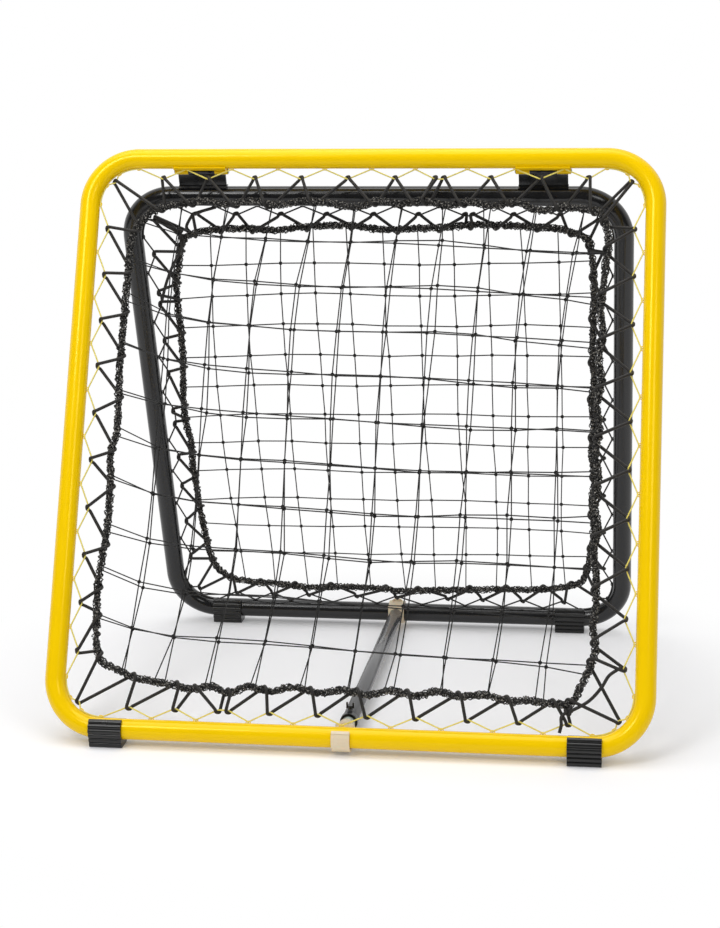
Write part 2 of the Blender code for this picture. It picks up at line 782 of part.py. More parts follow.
def hook_outline():
    """The front clip: under the front tube and up its front, open upwards and backwards."""
    bore = TUBE_RADIUS + HOOK_GAP
    outer = bore + HOOK_WALL
    lip = math.pi - HOOK_LIP
    groove = math.pi - HOOK_GROOVE
    floor = outer - HOOK_GROOVE_DEPTH
    top = hook_back()
    rear = top[0] + HOOK_BACK_WALL
    return [
        *arc_points(bore, lip, 2 * math.pi - HOOK_EXIT),
        top,
        (rear, HOOK_TOP),
        (rear, -STAY_INNER_RADIUS - FIT_GAP),
        *arc_points(outer, 2 * math.pi - HOOK_UNDERSIDE, groove + HOOK_GROOVE_HALF),
        *arc_points(floor, groove + HOOK_GROOVE_HALF, groove - HOOK_GROOVE_HALF, steps=1),
        *arc_points(outer, groove - HOOK_GROOVE_HALF, lip),
    ]


def make_front_clip(name, material, parent):
    """A moulded hook with a round socket behind it for the stay's inner tube."""
    mesh = plate_mesh(name, [hook_outline()], CLIP_WIDTH)
    clip = add_part(name, mesh, material, parent, (0.0, -SPREAD, 0.0))
    bore_radius = STAY_INNER_RADIUS + FIT_GAP
    start = -SPREAD + hook_back()[0] + HOOK_BACK_WALL / 2
    socket = rod_mesh(
        name + "_socket", bore_radius + HOOK_SOCKET_WALL, HOOK_SOCKET, CLIP_SIDES, "Y"
    )
    spot = (0.0, start + HOOK_SOCKET / 2, 0.0)
    add_boolean(clip, add_cutter(socket.name, socket, parent, spot), "UNION")
    bore = rod_mesh(name + "_bore", bore_radius, 2 * HOOK_SOCKET, STAY_SIDES, "Y")
    spot = (0.0, start + HOOK_SOCKET, 0.0)
    add_boolean(clip, add_cutter(bore.name, bore, parent, spot), "DIFFERENCE")


def ring_profile(outer, wall, low, high):
    return [(outer, low), (outer, high), (outer - wall, high), (outer - wall, low)]


def make_stay(parent, screw_parent):
    """The telescoping bar: outer tube, inner tube, end collar and clamping wing screw."""
    end = -SPREAD + STAY_END_SETBACK
    outer = ring_profile(STAY_RADIUS, STAY_WALL, end, -CLIP_FACE - FIT_GAP)
    mesh = turned_mesh("stay_outer_tube", outer, STAY_SIDES)
    tube = add_part("stay_outer_tube", mesh, STAY_PAINT, parent)
    boss_low = STAY_RADIUS - STAY_WALL / 2
    boss_height = LOCK_BOSS_HEIGHT + STAY_WALL / 2
    boss = rod_mesh("lock_boss", LOCK_BOSS_RADIUS, boss_height, SCREW_SIDES, "Z")
    spot = (0.0, end + LOCK_SETBACK, boss_low + boss_height / 2)
    add_boolean(tube, add_cutter(boss.name, boss, parent, spot), "UNION")
    hole = LOCK_SHAFT_RADIUS + PIN_GAP
    thread = rod_mesh("lock_thread_hole", hole, 2 * STAY_RADIUS, SHAFT_SIDES, "Z")
    spot = (0.0, end + LOCK_SETBACK, 1.5 * STAY_RADIUS)
    add_boolean(tube, add_cutter(thread.name, thread, parent, spot), "DIFFERENCE")

    front = -SPREAD + hook_back()[0] + HOOK_BACK_WALL / 2 + FIT_GAP
    inner = ring_profile(STAY_INNER_RADIUS, STAY_INNER_WALL, front, end + STAY_OVERLAP)
    mesh = turned_mesh("stay_inner_tube", inner, STAY_SIDES)
    add_part("stay_inner_tube", mesh, BRIGHT_ZINC, parent)

    bore = STAY_INNER_RADIUS + FIT_GAP
    skirt = STAY_RADIUS + FIT_GAP
    rim = skirt + COLLAR_WALL
    collar = [
        (bore, end - FIT_GAP - COLLAR_FLANGE),
        (rim, end - FIT_GAP - COLLAR_FLANGE),
        (rim, end + COLLAR_LENGTH - COLLAR_FLANGE),
        (skirt, end + COLLAR_LENGTH - COLLAR_FLANGE),
        (skirt, end - FIT_GAP),
        (bore, end - FIT_GAP),
    ]
    mesh = turned_mesh("stay_collar", collar, STAY_SIDES)
    add_part("stay_collar", mesh, BLACK_PLASTIC, parent)
    make_lock_screw("stay_lock_screw", screw_parent)


def make_lock_screw(name, parent):
    """A wing screw that presses on the inner tube. Its origin is on the stay's axis."""
    low = STAY_INNER_RADIUS + FIT_GAP
    seat = STAY_RADIUS + LOCK_BOSS_HEIGHT + FIT_GAP
    shaft_length = seat - low + LOCK_HUB_HEIGHT / 2
    shaft = rod_mesh(name, LOCK_SHAFT_RADIUS, shaft_length, SHAFT_SIDES, "Z")
    shaft.transform(Matrix.Translation((0, 0, low + shaft_length / 2)))
    screw = add_part(name, shaft, BLACK_PLASTIC, parent)
    hub = rod_mesh(name + "_hub", LOCK_HUB_RADIUS, LOCK_HUB_HEIGHT, SCREW_SIDES, "Z")
    spot = (0.0, 0.0, seat + LOCK_HUB_HEIGHT / 2)
    add_boolean(screw, add_cutter(hub.name, hub, parent, spot), "UNION")
    half = LOCK_WING_SPAN / 2
    base = seat + LOCK_WING_BASE
    floor = seat + LOCK_NOTCH_FLOOR
    top = base + LOCK_WING_HEIGHT
    outline = [
        (-half, base),
        (half, base),
        (half, top),
        (LOCK_NOTCH_HALF, top),
        (LOCK_NOTCH_HALF, floor),
        (-LOCK_NOTCH_HALF, floor),
        (-LOCK_NOTCH_HALF, top),
        (-half, top),
    ]
    wings = plate_mesh(name + "_wings", [outline], LOCK_WING_THICKNESS)
    wings.transform(Matrix.Rotation(math.pi / 2, 4, "Z"))
    add_boolean(screw, add_cutter(wings.name, wings, parent), "UNION")


def make_strings(prefix, strung, lace_radius, lace_material, parent, outer):
    """The lace, elastic cord and border rope inside one frame."""
    lace = tube_mesh(prefix + "_lace", strung.lace_path(lace_radius), lace_radius, 0, True)
    add_part(prefix + "_lace", lace, lace_material, parent)
    bungee_path = strung.bungee_path(lace_radius, outer)
    bungee = tube_mesh(prefix + "_bungee", bungee_path, BUNGEE_RADIUS, 0, True)
    add_part(prefix + "_bungee", bungee, CORD, parent)
    rope_path = [(point.x, point.y, 0.0) for point in strung.rope]
    rope = tube_mesh(prefix + "_border_rope", rope_path, ROPE_RADIUS, 1, True)
    add_part(prefix + "_border_rope", rope, CORD, parent)


# Where the frames stand. The two frames and the stay make a triangle, which sets how they lean.

clear_scene()
PARTS = new_collection("multisport_rebounder")
CUTTERS = new_collection("cutters")

AXLE_HEIGHT = TUBE_RADIUS + FOOT_SOLE
FRONT_LENGTH = math.hypot(FRONT_HEIGHT - HINGE_DROP, HINGE_SETBACK)
BACK_LENGTH = BACK_HEIGHT + HINGE_RISE
FRONT_ANGLE = math.acos(
    (FRONT_LENGTH**2 + SPREAD**2 - BACK_LENGTH**2) / (2 * FRONT_LENGTH * SPREAD)
)
HINGE_Y = FRONT_LENGTH * math.cos(FRONT_ANGLE)
HINGE_Z = FRONT_LENGTH * math.sin(FRONT_ANGLE)
FRONT_TURN = FRONT_ANGLE + math.atan2(HINGE_SETBACK, FRONT_HEIGHT - HINGE_DROP)
BACK_TURN = math.pi - math.asin(HINGE_Z / BACK_LENGTH)
HINGE_X = BACK_WIDTH / 2 - HINGE_INSET

YELLOW_PAINT = make_material("yellow_powder_coat", YELLOW, 0.28)
BLACK_PAINT = make_material("black_powder_coat", SATIN_BLACK, 0.35)
STAY_PAINT = make_material("grey_powder_coat", STAY_GREY, 0.45)
BRIGHT_ZINC = make_material("zinc_plated_steel", ZINC, 0.3, 1.0)
BLACK_RUBBER = make_material("black_rubber", RUBBER_BLACK, 0.5)
BLACK_PLASTIC = make_material("black_plastic", RUBBER_BLACK, 0.4)
CREAM_PLASTIC = make_material("cream_nylon", CREAM, 0.45)
CORD = make_material("black_cord", CORD_BLACK, 0.85)
YELLOW_CORD = make_material("yellow_cord", YELLOW, 0.75)

front_plane = make_empty("front_plane", (0.0, -SPREAD / 2, AXLE_HEIGHT), FRONT_TURN)
hinge_axis = make_empty("hinge_axis", (0.0, HINGE_Y - SPREAD / 2, AXLE_HEIGHT + HINGE_Z), 0.0)
back_plane = make_empty("back_plane", (0.0, SPREAD - HINGE_Y, -HINGE_Z), BACK_TURN, hinge_axis)
stay_pivot = make_empty("stay_pivot", (0.0, 0.0, 0.0), -BACK_TURN, back_plane)
lock_axis = make_empty(
    "lock_axis", (0.0, -SPREAD + STAY_END_SETBACK + LOCK_SETBACK, 0.0), 0.0, stay_pivot
)

# Front frame

make_frame_tube("front_tube", FRONT_WIDTH, FRONT_HEIGHT, FRONT_CORNER, YELLOW_PAINT, front_plane)
front_strung = Stringing(
    FRONT_WIDTH,
    FRONT_HEIGHT,
    FRONT_CORNER,
    FRONT_LACE_PEAKS,
    (FRONT_ROPE_LEFT, FRONT_ROPE_RIGHT, FRONT_ROPE_BOTTOM, FRONT_ROPE_TOP),
    HINGE_X,
)
make_strings("front", front_strung, FRONT_LACE_RADIUS, YELLOW_CORD, front_plane, 1)
front_grid = front_strung.net_grid(
    FRONT_NET_CORDS,
    FRONT_NET_MARGIN_X,
    FRONT_NET_MARGIN_Y,
    FRONT_NET_LEAN,
    FRONT_NET_SLOPE,
    FRONT_NET_SHIFT,
)
make_net("front_net", front_grid, FRONT_NET_CORDS, CORD, front_plane)

# Rear frame

make_frame_tube("back_tube", BACK_WIDTH, BACK_HEIGHT, BACK_CORNER, BLACK_PAINT, back_plane)
back_strung = Stringing(
    BACK_WIDTH,
    BACK_HEIGHT,
    BACK_CORNER,
    BACK_LACE_PEAKS,
    (BACK_ROPE_LEFT, BACK_ROPE_RIGHT, BACK_ROPE_BOTTOM, BACK_ROPE_TOP),
)
make_strings("back", back_strung, BACK_LACE_RADIUS, CORD, back_plane, -1)
back_grid = back_strung.net_grid(
    BACK_NET_CORDS,
    BACK_NET_MARGIN_X,
    BACK_NET_MARGIN_Y,
    BACK_NET_LEAN,
    BACK_NET_SLOPE,
    BACK_NET_SHIFT,
)
make_net("back_net", back_grid, BACK_NET_CORDS, CORD, back_plane)

# Feet and hinges, one on each side

front_seat = make_foot_bore("front_foot_bore", FRONT_WIDTH, FRONT_HEIGHT, FRONT_CORNER, front_plane)
back_seat = make_foot_bore("back_foot_bore", BACK_WIDTH, BACK_HEIGHT, BACK_CORNER, back_plane)
for side, word in ((-1, "left"), (1, "right")):
    foot_x = side * (FRONT_WIDTH / 2 - FRONT_FOOT_INSET)
    make_foot("front_foot_" + word, foot_x, BLACK_RUBBER, front_plane, -FRONT_TURN, front_seat)
    foot_x = side * (BACK_WIDTH / 2 - BACK_FOOT_INSET)
    make_foot("back_foot_" + word, foot_x, BLACK_RUBBER, back_plane, -BACK_TURN, back_seat)
    hinge_x = side * HINGE_X
    make_front_leaf("front_hinge_leaf_" + word, hinge_x, YELLOW_PAINT, front_plane)
    make_pin("hinge_pin_" + word, hinge_x, BRIGHT_ZINC, front_plane)
    make_back_leaf("back_hinge_leaf_" + word, hinge_x, BLACK_PAINT, back_plane)

# Stay bar

make_rear_clip("stay_rear_clip", CREAM_PLASTIC, stay_pivot)
make_stay(stay_pivot, lock_axis)
make_front_clip("stay_front_clip", CREAM_PLASTIC, stay_pivot)
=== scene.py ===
"""A folding multisport rebounder: two round-cornered tube frames hinged at the top, each strung
with a net, and a telescopic stay across the floor that holds them apart. Sizes are in metres.
"""

import random
from collections import namedtuple
from math import atan2, cos, exp, pi, radians, sin

import bmesh
import bpy
import numpy as np
from mathutils import Matrix, Vector, noise


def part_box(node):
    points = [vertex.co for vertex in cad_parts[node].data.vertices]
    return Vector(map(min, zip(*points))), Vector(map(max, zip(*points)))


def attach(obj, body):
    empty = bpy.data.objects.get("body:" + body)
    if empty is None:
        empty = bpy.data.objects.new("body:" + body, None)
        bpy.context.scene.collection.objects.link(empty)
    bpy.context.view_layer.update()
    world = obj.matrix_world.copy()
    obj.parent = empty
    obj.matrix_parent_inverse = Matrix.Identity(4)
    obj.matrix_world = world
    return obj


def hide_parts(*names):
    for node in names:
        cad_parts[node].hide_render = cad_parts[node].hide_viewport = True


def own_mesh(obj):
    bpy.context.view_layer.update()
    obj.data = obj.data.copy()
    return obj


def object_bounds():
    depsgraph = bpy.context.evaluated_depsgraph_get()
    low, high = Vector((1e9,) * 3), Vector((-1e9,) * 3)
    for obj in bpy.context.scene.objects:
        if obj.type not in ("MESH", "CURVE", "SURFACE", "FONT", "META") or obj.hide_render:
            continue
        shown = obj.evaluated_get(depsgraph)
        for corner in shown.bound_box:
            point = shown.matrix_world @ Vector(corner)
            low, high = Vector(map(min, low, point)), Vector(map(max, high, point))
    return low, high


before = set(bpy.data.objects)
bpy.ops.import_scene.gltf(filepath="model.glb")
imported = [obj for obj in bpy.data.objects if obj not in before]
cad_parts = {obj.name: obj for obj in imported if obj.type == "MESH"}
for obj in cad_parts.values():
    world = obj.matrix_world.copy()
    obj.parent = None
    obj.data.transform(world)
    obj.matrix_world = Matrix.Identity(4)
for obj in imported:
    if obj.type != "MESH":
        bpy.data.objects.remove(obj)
cad_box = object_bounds()

# Front frame ring
# One length of 25.4 mm round steel tube, bent at four corners and welded into a ring. It is powder
# coated in gloss yellow, which covers the weld.

TUBE_RADIUS = 0.0127
FRONT_CORNER = 0.061
RING_SIDES = 48
CORNER_STEPS = 28
SHARP_DEGREES = 50
GRAIN_HEIGHT = 0.0001


def linear(text):
    """An sRGB hex colour as linear RGBA."""
    parts = [int(text[i : i + 2], 16) / 255 for i in (0, 2, 4)]
    return (*[p / 12.92 if p <= 0.04045 else ((p + 0.055) / 1.055) ** 2.4 for p in parts], 1.0)


def add_node(tree, kind, sockets=None, **settings):
    """A shader node with its settings. A socket is given a value, or another node's output."""
    made = tree.nodes.new("ShaderNode" + kind)
    for name, value in settings.items():
        setattr(made, name, value)
    for name, value in (sockets or {}).items():
        if isinstance(value, bpy.types.NodeSocket):
            tree.links.new(value, made.inputs[name])
        else:
            made.inputs[name].default_value = value
    return made


def new_material(name):
    """An empty material, its node tree and its output node."""
    made = bpy.data.materials.new(name)
    made.use_nodes = True
    made.node_tree.nodes.clear()
    return made, made.node_tree, made.node_tree.nodes.new("ShaderNodeOutputMaterial")


def skin(name, shades, patch, grain, relief, sockets, gloss=None):
    """The skin of a coat or a moulding: shade and gloss drift in soft patches, over a fine grain.

    patch and grain are each a size in millimetres and its detail; relief is the grain's strength."""
    material, tree, out = new_material(name)
    place = add_node(tree, "TexCoord").outputs["Object"]
    textures = []
    for size_mm, detail in (patch, grain):
        settings = {"Vector": place, "Scale": 1000 / size_mm, "Detail": detail}
        textures.append(add_node(tree, "TexNoise", settings).outputs["Fac"])
    patches, grains = textures
    dark, light = (linear(shade) for shade in shades)
    colour = add_node(tree, "Mix", {0: patches, 6: dark, 7: light}, data_type="RGBA")
    bump = add_node(tree, "Bump", {"Height": grains, "Strength": relief, "Distance": GRAIN_HEIGHT})
    finish = {"Base Color": colour.outputs[2], "Normal": bump.outputs[0], **sockets}
    if gloss:
        drift = add_node(tree, "MapRange", {"Value": patches, "To Min": gloss[0], "To Max": gloss[1]})
        finish["Roughness"] = drift.outputs[0]
    shader = add_node(tree, "BsdfPrincipled", finish)
    tree.links.new(shader.outputs[0], out.inputs[0])
    return material


def carried_axes(path, closed):
    """Two directions square to a path at each of its points, carried along it without twisting."""
    if closed:
        ahead = np.roll(path, -1, 0) - np.roll(path, 1, 0)
    else:
        ahead = np.gradient(path, axis=0)
    ahead = ahead / np.linalg.norm(ahead, axis=1)[:, None]
    side = np.zeros_like(path)
    helper = (0.0, 1.0, 0.0) if abs(ahead[0][0]) > 0.9 else (1.0, 0.0, 0.0)
    first = np.cross(ahead[0], helper)
    side[0] = first / np.linalg.norm(first)
    for k in range(1, len(path)):
        step = side[k - 1] - ahead[k] * side[k - 1].dot(ahead[k])
        side[k] = step / np.linalg.norm(step)
    other = np.cross(ahead, side)
    if closed:
        # What is left over at the end is shared out, so that the loop closes without a jump.
        last = side[-1] - ahead[0] * side[-1].dot(ahead[0])
        gap = atan2(last.dot(other[0]), last.dot(side[0]))
        turn = (-gap * np.arange(len(path)) / len(path))[:, None]
        side, other = (
            side * np.cos(turn) + other * np.sin(turn),
            other * np.cos(turn) - side * np.sin(turn),
        )
    return side, other


def swept(path, radius, sides, closed=True):
    """A round section along a path: points, faces, and each face corner's (round, along) place."""
    path = np.asarray(path, float)
    count = len(path)
    side, other = carried_axes(path, closed)
    radius = np.broadcast_to(np.asarray(radius, float), (count,))[:, None, None]
    turn = (2 * pi * np.arange(sides) / sides)[None, :, None]
    ring = np.cos(turn) * side[:, None] + np.sin(turn) * other[:, None]
    points = (path[:, None] + radius * ring).reshape(-1, 3)
    length = np.concatenate([[0.0], np.cumsum(np.linalg.norm(np.diff(path, axis=0), axis=1))])
    faces = []
    places = []
    for k in range(count if closed else count - 1):
        after = (k + 1) % count
        far = length[k + 1] if k + 1 < count else length[k] + np.linalg.norm(path[0] - path[k])
        for j in range(sides):
            turned_on = (j + 1) % sides
            here = (k * sides + j, k * sides + turned_on)
            faces.append((*here, after * sides + turned_on, after * sides + j))
            low, high = j / sides, (j + 1) / sides
            places += [(low, length[k]), (high, length[k]), (high, far), (low, far)]
    if not closed:
        faces.append(tuple(reversed(range(sides))))
        faces.append(tuple(range((count - 1) * sides, count * sides)))
        places += [(0.0, 0.0)] * sides + [(0.0, length[-1])] * sides
    return points, faces, places


def new_piece(name, parts, material, body, replaced=()):
    """One object of one or more (points, faces, places) parts, riding on its body."""
    points, faces, places = [], [], []
    for part_points, part_faces, part_places in parts:
        start = len(points)
        points += [tuple(map(float, p)) for p in part_points]
        faces += [tuple(start + i for i in face) for face in part_faces]
        places += part_places
    mesh = bpy.data.meshes.new(name)
    mesh.from_pydata(points, [], faces)
    if places:
        layer = mesh.uv_layers.new(name="round_and_along")
        layer.data.foreach_set("uv", np.asarray(places, np.float32).ravel())
    mesh.shade_smooth()
    mesh.set_sharp_from_angle(angle=radians(SHARP_DEGREES))
    piece = bpy.data.objects.new(name, mesh)
    bpy.context.scene.collection.objects.link(piece)
    mesh.materials.append(material)
    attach(piece, body)
    if replaced:
        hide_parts(*replaced)
    return piece


class FramePlane:
    """The leaning plane of a tube ring, found from the ring's box: across, up it and out of it."""

    def __init__(self, ring, corner, bottom_in_front):
        low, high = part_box(ring)
        low = Vector(low) + Vector((1, 1, 1)) * TUBE_RADIUS
        high = Vector(high) - Vector((1, 1, 1)) * TUBE_RADIUS
        foot, head = (low.y, high.y) if bottom_in_front else (high.y, low.y)
        rise = Vector((0.0, head - foot, high.z - low.z))
        self.width = high.x - low.x
        self.height = rise.length
        self.corner = corner
        self.base = Vector((0.0, foot, low.z))
        self.up = rise.normalized()
        self.out = Vector((1.0, 0.0, 0.0)).cross(self.up)

    def at(self, x, up, out=0.0):
        """A place in the plane, in the object's own coordinates."""
        return self.base + Vector((x, 0.0, 0.0)) + self.up * up + self.out * out

    def ring_path(self):
        """The ring's centre line, anticlockwise from the bottom left."""
        half = self.width / 2 - self.corner
        top = self.height - self.corner
        path = []
        corners = ((-half, self.corner), (half, self.corner), (half, top), (-half, top))
        for turn, (x, up) in enumerate(corners):
            for k in range(CORNER_STEPS + 1):
                angle = pi + (turn + k / CORNER_STEPS) * pi / 2
                across = x + self.corner * cos(angle)
                path.append(self.at(across, up + self.corner * sin(angle)))
        return path


# Polyester powder melts into a deep gloss with a slight orange peel, and its lights stay yellow.
yellow_coat = skin(
    "yellow_polyester_powder_coat",
    ("F2C600", "F8CE00"),
    patch=(60.0, 3.0),
    grain=(1.8, 2.0),
    relief=0.05,
    sockets={"IOR": 1.5, "Specular Tint": linear("FFF08A")},
    gloss=(0.15, 0.20),
)
front = FramePlane("front_tube", FRONT_CORNER, True)
new_piece(
    "front_ring",
    [swept(front.ring_path(), TUBE_RADIUS, RING_SIDES)],
    yellow_coat,
    "front_frame",
    ["front_tube"],
)

# Rear frame ring
# The same tube in a smaller ring, powder coated in satin black. The coat's fine texture spreads
# the lights into broad grey streaks.

BACK_CORNER = 0.058

# Satin powder has a finer, duller skin than the yellow.
SATIN = {
    "patch": (45.0, 3.0),
    "grain": (0.9, 3.0),
    "relief": 0.05,
    "sockets": {"IOR": 1.5},
    "gloss": (0.16, 0.23),
}
black_coat = skin("satin_black_powder_coat", ("161617", "1E1E1F"), **SATIN)
back = FramePlane("back_tube", BACK_CORNER, False)
new_piece(
    "rear_ring",
    [swept(back.ring_path(), TUBE_RADIUS, RING_SIDES)],
    black_coat,
    "back_frame",
    ["back_tube"],
)

# Hinges
# Two on the top tubes. Yellow outer knuckles are welded under the front tube, a black leaf with
# the middle knuckle stands on the rear tube, and a plated steel pin goes through all three.

LEAF_EDGE = 0.0003
PIN_EDGE = 0.00015
EDGE_DEGREES = 40


def zinc_plate():
    """Bright zinc on steel, passivated. It is a slightly greenish silver with fine drawn lines."""
    material, tree, out = new_material("bright_zinc_plated_steel")
    place = add_node(tree, "TexCoord").outputs["Object"]
    line_mm = 0.6
    long = add_node(tree, "Mapping", {"Vector": place, "Scale": (1.0, 0.05, 1.0)}).outputs[0]
    noisy = add_node(tree, "TexNoise", {"Vector": long, "Scale": 1000 / line_mm, "Detail": 2.0})
    lines = noisy.outputs["Fac"]
    dark, light = linear("939E96"), linear("BAC2B8")
    colour = add_node(tree, "Mix", {0: lines, 6: dark, 7: light}, data_type="RGBA").outputs[2]
    gloss = add_node(tree, "MapRange", {"Value": lines, "To Min": 0.22, "To Max": 0.38}).outputs[0]
    finish = {"Base Color": colour, "Metallic": 1.0, "Roughness": gloss}
    shader = add_node(tree, "BsdfPrincipled", finish)
    tree.links.new(shader.outputs[0], out.inputs[0])
    return material


def break_edges(piece, width, degrees):
    """Edges that turn more than this are rounded a little."""
    bevel = piece.modifiers.new("Broken edges", "BEVEL")
    bevel.width = width
    bevel.segments = 2
    bevel.limit_method = "ANGLE"
    bevel.angle_limit = radians(degrees)
    return bevel


def dress(node, material, edge):
    """A CAD node that keeps its shape gets its finish and slightly rounded edges."""
    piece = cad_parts[node]
    piece.data.materials.clear()
    piece.data.materials.append(material)
    break_edges(piece, edge, EDGE_DEGREES).harden_normals = True


zinc = zinc_plate()
for word in ("left", "right"):
    dress("front_hinge_leaf_" + word, yellow_coat, LEAF_EDGE)
    dress("back_hinge_leaf_" + word, black_coat, LEAF_EDGE)
    dress("hinge_pin_" + word, zinc, PIN_EDGE)

# Feet
# Black rubber clips pushed over the bottom tubes, two to a frame. Ribs run along both walls and
# the sole is flat. Moulding leaves them with a dull shine on the ribs.

FOOT_WIDTH = 0.041
FOOT_SOLE = 0.0080
FOOT_WALL = 0.0024
FOOT_FRONT_LIP = radians(63.0)
FOOT_REAR_LIP = radians(34.0)
FOOT_TUCK = radians(-27.0)
FOOT_BASE_HALF = 0.0100
FOOT_FIT = 0.0002
FOOT_EDGE = 0.0004
FOOT_EDGE_DEGREES = 60
RIBS = 6
RIB_DEPTH = 0.0021
RIB_FULLNESS = 0.45
RIB_STEPS = 11
BORE_STEPS = 48


def foot_wall(lip):
    """One side of the foot, from its lip round the tube and in to the sole, with round ribs."""
    radius = TUBE_RADIUS + FOOT_WALL
    sole = -(TUBE_RADIUS + FOOT_SOLE)
    tuck = Vector((radius * cos(FOOT_TUCK), radius * sin(FOOT_TUCK)))
    foot = Vector((FOOT_BASE_HALF, sole))
    round_run = radius * (lip - FOOT_TUCK)
    whole = round_run + (foot - tuck).length
    slope = (foot - tuck).normalized()
    wall = []
    for k in range(RIBS * RIB_STEPS + 1):
        run = whole * k / (RIBS * RIB_STEPS)
        if run < round_run:
            angle = lip - run / radius
            normal = Vector((cos(angle), sin(angle)))
            spot = normal * radius
        else:
            normal = Vector((-slope.y, slope.x))
            spot = tuck + slope * (run - round_run)
        crest = sin(pi * (k % RIB_STEPS) / RIB_STEPS) ** RIB_FULLNESS
        spot = spot + normal * (RIB_DEPTH * crest)
        wall.append((spot.x, max(spot.y, sole)))
    return wall


def foot_outline():
    """A C open at the top in (depth, height). Its front lip reaches higher than its rear one."""
    bore = TUBE_RADIUS + FOOT_FIT
    start = pi - FOOT_FRONT_LIP
    end = 2 * pi + FOOT_REAR_LIP
    inner = []
    for k in range(BORE_STEPS + 1):
        angle = start + (end - start) * k / BORE_STEPS
        inner.append((bore * cos(angle), bore * sin(angle)))
    front_wall = [(-y, z) for y, z in reversed(foot_wall(FOOT_FRONT_LIP))]
    return front_wall + inner + foot_wall(FOOT_REAR_LIP)


def foot_solid(middle, plane):
    """The outline made solid across the foot's width, round the plane's bottom tube."""
    outline = foot_outline()
    count = len(outline)
    points = []
    for x in (middle - FOOT_WIDTH / 2, middle + FOOT_WIDTH / 2):
        points += [(x, plane.base.y + y, plane.base.z + z) for y, z in outline]
    faces = [tuple(range(count)), tuple(reversed(range(count, 2 * count)))]
    for k in range(count):
        after = (k + 1) % count
        faces.append((after, k, count + k, count + after))
    return points, faces, []


def settle_normals(piece):
    """Every face turned outwards."""
    work = bmesh.new()
    work.from_mesh(piece.data)
    bmesh.ops.recalc_face_normals(work, faces=work.faces)
    work.to_mesh(piece.data)
    work.free()


# Moulded rubber or plastic is near black, with a soft shine and a faint bloom in patches.
MOULDED = {
    "patch": (14.0, 5.0),
    "grain": (0.7, 4.0),
    "relief": 0.2,
    "sockets": {"IOR": 1.52},
    "gloss": (0.24, 0.34),
}
rubber = skin("moulded_black_rubber", ("0B0B0B", "151515"), **MOULDED)
for name, start, plane in (("front", "front", front), ("rear", "back", back)):
    for word in ("left", "right"):
        node = start + "_foot_" + word
        low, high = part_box(node)
        foot = new_piece(
            name + "_rubber_foot_" + word,
            [foot_solid((low[0] + high[0]) / 2, plane)],
            rubber,
            start + "_frame",
            [node],
        )
        settle_normals(foot)
        break_edges(foot, FOOT_EDGE, FOOT_EDGE_DEGREES)

# Border ropes
# Each net is gathered onto a rope by its edge meshes. The bunched, hairy yarn round the rope makes
# it lumpy, with gaps that let light through, and grey specks painted on it stand in for highlights.

# The ropes' routes, (across, up) in the frame's plane in millimetres. The spots were picked
# on the photograph and put in the plane with the solved camera; the right sides are even scallops.
FRONT_ROPE = (
    (-284, 73), (-262, 63), (-235, 59), (-214, 56), (-186, 51), (-163, 56), (-142, 48),
    (-118, 57), (-92, 52), (-62, 58), (-33, 52), (-2, 57), (28, 52), (57, 58), (86, 53),
    (113, 59), (139, 54), (169, 57), (197, 51), (224, 52), (252, 49), (273, 52), (287, 78),
    (295, 97), (300, 120), (296, 142), (299, 170), (298, 202), (295, 232), (299, 262),
    (294, 292), (298, 322), (294, 352), (298, 382), (294, 412), (298, 442), (295, 472),
    (299, 502), (295, 532), (298, 562), (300, 592), (303, 614), (300, 640), (291, 657),
    (272, 662), (244, 664), (215, 660), (186, 671), (158, 665), (129, 671), (100, 666),
    (71, 673), (42, 668), (13, 672), (-14, 664), (-54, 670), (-79, 672), (-115, 667),
    (-152, 672), (-182, 667), (-212, 672), (-242, 667), (-268, 662), (-288, 648), (-302, 621),
    (-304, 576), (-305, 530), (-306, 478), (-306, 438), (-304, 371), (-310, 346), (-308, 311),
    (-307, 260), (-309, 233), (-314, 183), (-314, 155), (-308, 89),
)
BACK_ROPE = (
    (-263, 80), (-243, 54), (-221, 47), (-195, 43), (-180, 44), (-125, 38), (-80, 41), (-29, 40),
    (8, 36), (49, 39), (95, 41), (149, 44), (209, 46), (254, 55), (269, 71), (277, 110),
    (281, 150), (278, 190), (282, 230), (278, 270), (281, 310), (279, 350), (282, 385),
    (280, 419), (281, 469), (282, 535), (279, 565), (273, 589), (240, 602), (195, 606),
    (131, 608), (84, 604), (54, 603), (11, 601), (-35, 607), (-95, 604), (-128, 600),
    (-176, 602), (-225, 598), (-253, 585), (-265, 542), (-271, 508), (-271, 463), (-272, 416),
    (-278, 352), (-279, 309), (-275, 279), (-276, 237), (-274, 191), (-271, 140),
)
ROPE_STEP = 0.0012
CORE_RADIUS = 0.0024
CORE_SIDES = 10
MESH_YARNS = 9
MESH_YARN_RADIUS = 0.00072
MESH_YARN_SIDES = 5
MESH_REACH = 0.0039
MESH_SPREAD = 0.0017
MESH_LAY = 0.019
MESH_SWAY = 2.6
HAIRS_PER_METRE = 700
HAIR_LENGTH = 0.0024
HAIR_RADII = (0.00026, 0.00020, 0.00010)

# How many lumps to the metre the core has, and the yarns' sway, reach and thickness.
CORE_LUMPS = 160
SWAY_LUMPS = 130
REACH_LUMPS = 190
THICKNESS_LUMPS = 700


